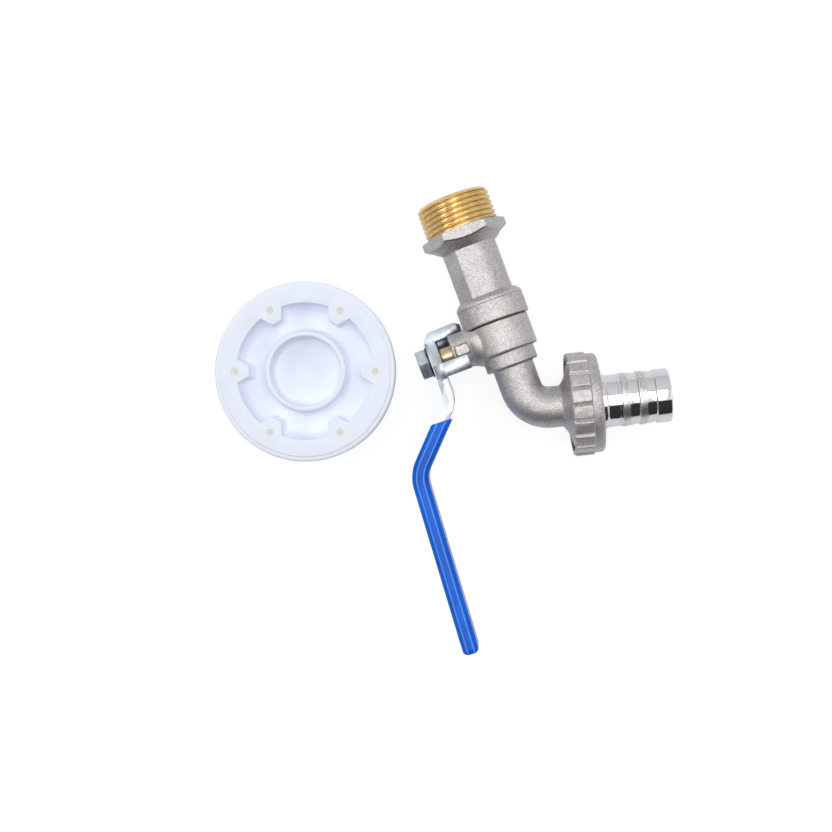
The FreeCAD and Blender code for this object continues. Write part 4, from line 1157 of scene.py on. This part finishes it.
def dress(node, finish):
    """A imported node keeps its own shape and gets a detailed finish."""
    mesh = frame["nodes"][node].data
    mesh.materials.clear()
    mesh.materials.append(FINISH[finish])


class DRUMTAP_OT_inner(Operator):
    """Ball, seats, seals and rings inside the tap"""

    bl_idname = "drumtap.inner"
    bl_label = "Inner pieces"

    def execute(self, context):
        dress("ball", "chrome")
        for node in ("seat_upstream", "seat_downstream", "body_seal", "stem_washer"):
            dress(node, "ptfe")
        for node in ("stem_ring_inner", "stem_ring_outer", "union_washer"):
            dress(node, "rubber")
        return {"FINISHED"}


class DRUMTAP_OT_bung(Operator):
    """White bung with its star socket, its outer thread and the gasket under its flange"""

    bl_idname = "drumtap.bung"
    bl_label = "Bung"

    def execute(self, context):
        piece = to_object("bung_moulding", bung_moulding(), BUNG, "plastic", "bung", ("bung",), 40)
        shade_holes(piece.data)
        thread = male_thread(
            28.0, pitch=4.0, depth=1.7, start=0.0, end=17.6, lead=1.0, bore=25.4, steps=128, rows=14
        )
        to_object("bung_thread", thread, BUNG, "plastic", "bung", smooth=50)
        ring = copied("bung_gasket", 0.3)
        to_object("bung_gasket_ring", ring, MILLIMETRES, "foam", "bung", ("bung_gasket",))
        return {"FINISHED"}


BUNG_PROFILE = [
    (15.0, 0), (15.0, 12.06), (8.0, 12.06, 0.3), (8.0, 15.0, 0.3), (13.8, 15.0, 0.4), (13.8, 24.0),
    (12.8, 25.0), (0.1, 25.0), (0.1, 26.0), (17.6, 26.0), (17.6, 27.2), (20.5, 27.2), (20.5, 31.8, 0.4),
    (25.65, 31.8, 0.8),
    (25.65, 30.2, 0.1), (26.0, 29.95, 0.15), (26.0, 24.0, 0.45), (16.0, 24.0, 2.6), (16.0, 15.1, 0.9),
    (24.5, 14.3, 0.4), (25.0, 13.7, 0.4), (25.0, 12.5, 0.5), (16.2, 12.06, 0.5), (16.2, 0),
]


def bung_moulding():
    """The bung round the x axis, with six lugs grown into its star socket and a hole in each."""
    lugs, holes = [], []
    for step in range(6):
        turn = Matrix.Rotation(step * math.pi / 3 - BUNG_TURN, 4, "X")
        lugs.append(moved(star_lug(), turn))
        hole = turned([(19.0, 0), (19.0, HOLE_RADIUS * 1000), (27.0, HOLE_RADIUS * 1000), (27.0, 0)], 32)
        holes.append(moved(hole, turn @ Matrix.Translation((0, HOLE_RING * 1000, 0))))
    return hollowed(hollowed(turned(BUNG_PROFILE, 192), lugs, "UNION"), holes)


def star_lug():
    """One lug along +y: a wedge that widens a little toward the recess floor. Its edges are rounded but
    for those at its foot and at its back, which lie inside the bung's wall."""
    foot, top, back = 15.6, 26.0, 25.3
    bm = bmesh.new()
    rings = []
    for height, grow in ((foot, 0.55), (top, 0.0)):
        front, half = 19.6 - grow, 1.9 + 0.5 * grow
        corners = ((back, 5.3), (front, half), (front, -half), (back, -5.3))
        rings.append([bm.verts.new((height, y, z)) for y, z in corners])
    low, high = rings
    for index in range(4):
        after = (index + 1) % 4
        bm.faces.new((low[index], low[after], high[after], high[index]))
    bm.faces.new(low)
    bm.faces.new(high)
    tidy(bm)
    edges = [
        edge for edge in bm.edges
        if max(v.co.x for v in edge.verts) > foot + 1 and min(v.co.y for v in edge.verts) < back - 0.1
    ]
    rounded(bm, edges, 0.45, 4, clamp=True)
    tidy(bm)
    return bm


def shade_holes(mesh):
    """Gives the inside of the six small holes its own finish."""
    mesh.materials.append(FINISH["hole"])
    centre = BUNG.translation
    for polygon in mesh.polygons:
        x, y, z = polygon.center
        out = math.hypot(x - centre.x, y - centre.y)
        angle = math.atan2(y - centre.y, x - centre.x) + BUNG_TURN
        off = (angle + math.pi / 6) % (math.pi / 3) - math.pi / 6
        apart = math.hypot(out * math.cos(off) - HOLE_RING, out * math.sin(off))
        if apart < HOLE_RADIUS and HOLE_SPAN[0] < z < HOLE_SPAN[1]:
            polygon.material_index = 1


class DRUMTAP_PT_panel(Panel):
    """Lists the steps that build the tap"""

    bl_idname = "DRUMTAP_PT_panel"
    bl_label = "Drum bung tap"
    bl_space_type = "VIEW_3D"
    bl_region_type = "UI"
    bl_category = "Drum Tap"

    def draw(self, context):
        column = self.layout.column()
        for step in STEPS:
            column.operator(step.bl_idname)
        for group in (context.scene.tap_sizes, context.scene.tap_colours):
            for name in group.__annotations__:
                column.prop(group, name)


STEPS = (
    DRUMTAP_OT_stage, DRUMTAP_OT_inlet, DRUMTAP_OT_body, DRUMTAP_OT_handle, DRUMTAP_OT_union,
    DRUMTAP_OT_inner, DRUMTAP_OT_bung,
)
CLASSES = (TapColours, TapSizes, *STEPS, DRUMTAP_PT_panel)


def register():
    for item in CLASSES:
        bpy.utils.register_class(item)
    bpy.types.Scene.tap_colours = PointerProperty(type=TapColours)
    bpy.types.Scene.tap_sizes = PointerProperty(type=TapSizes)


def unregister():
    del bpy.types.Scene.tap_sizes
    del bpy.types.Scene.tap_colours
    for item in reversed(CLASSES):
        bpy.utils.unregister_class(item)


def main():
    register()
    build_finishes(bpy.context.scene.tap_colours)
    for step in STEPS:
        group, name = step.bl_idname.split(".")
        getattr(getattr(bpy.ops, group), name)()


if __name__ == "__main__":
    main()
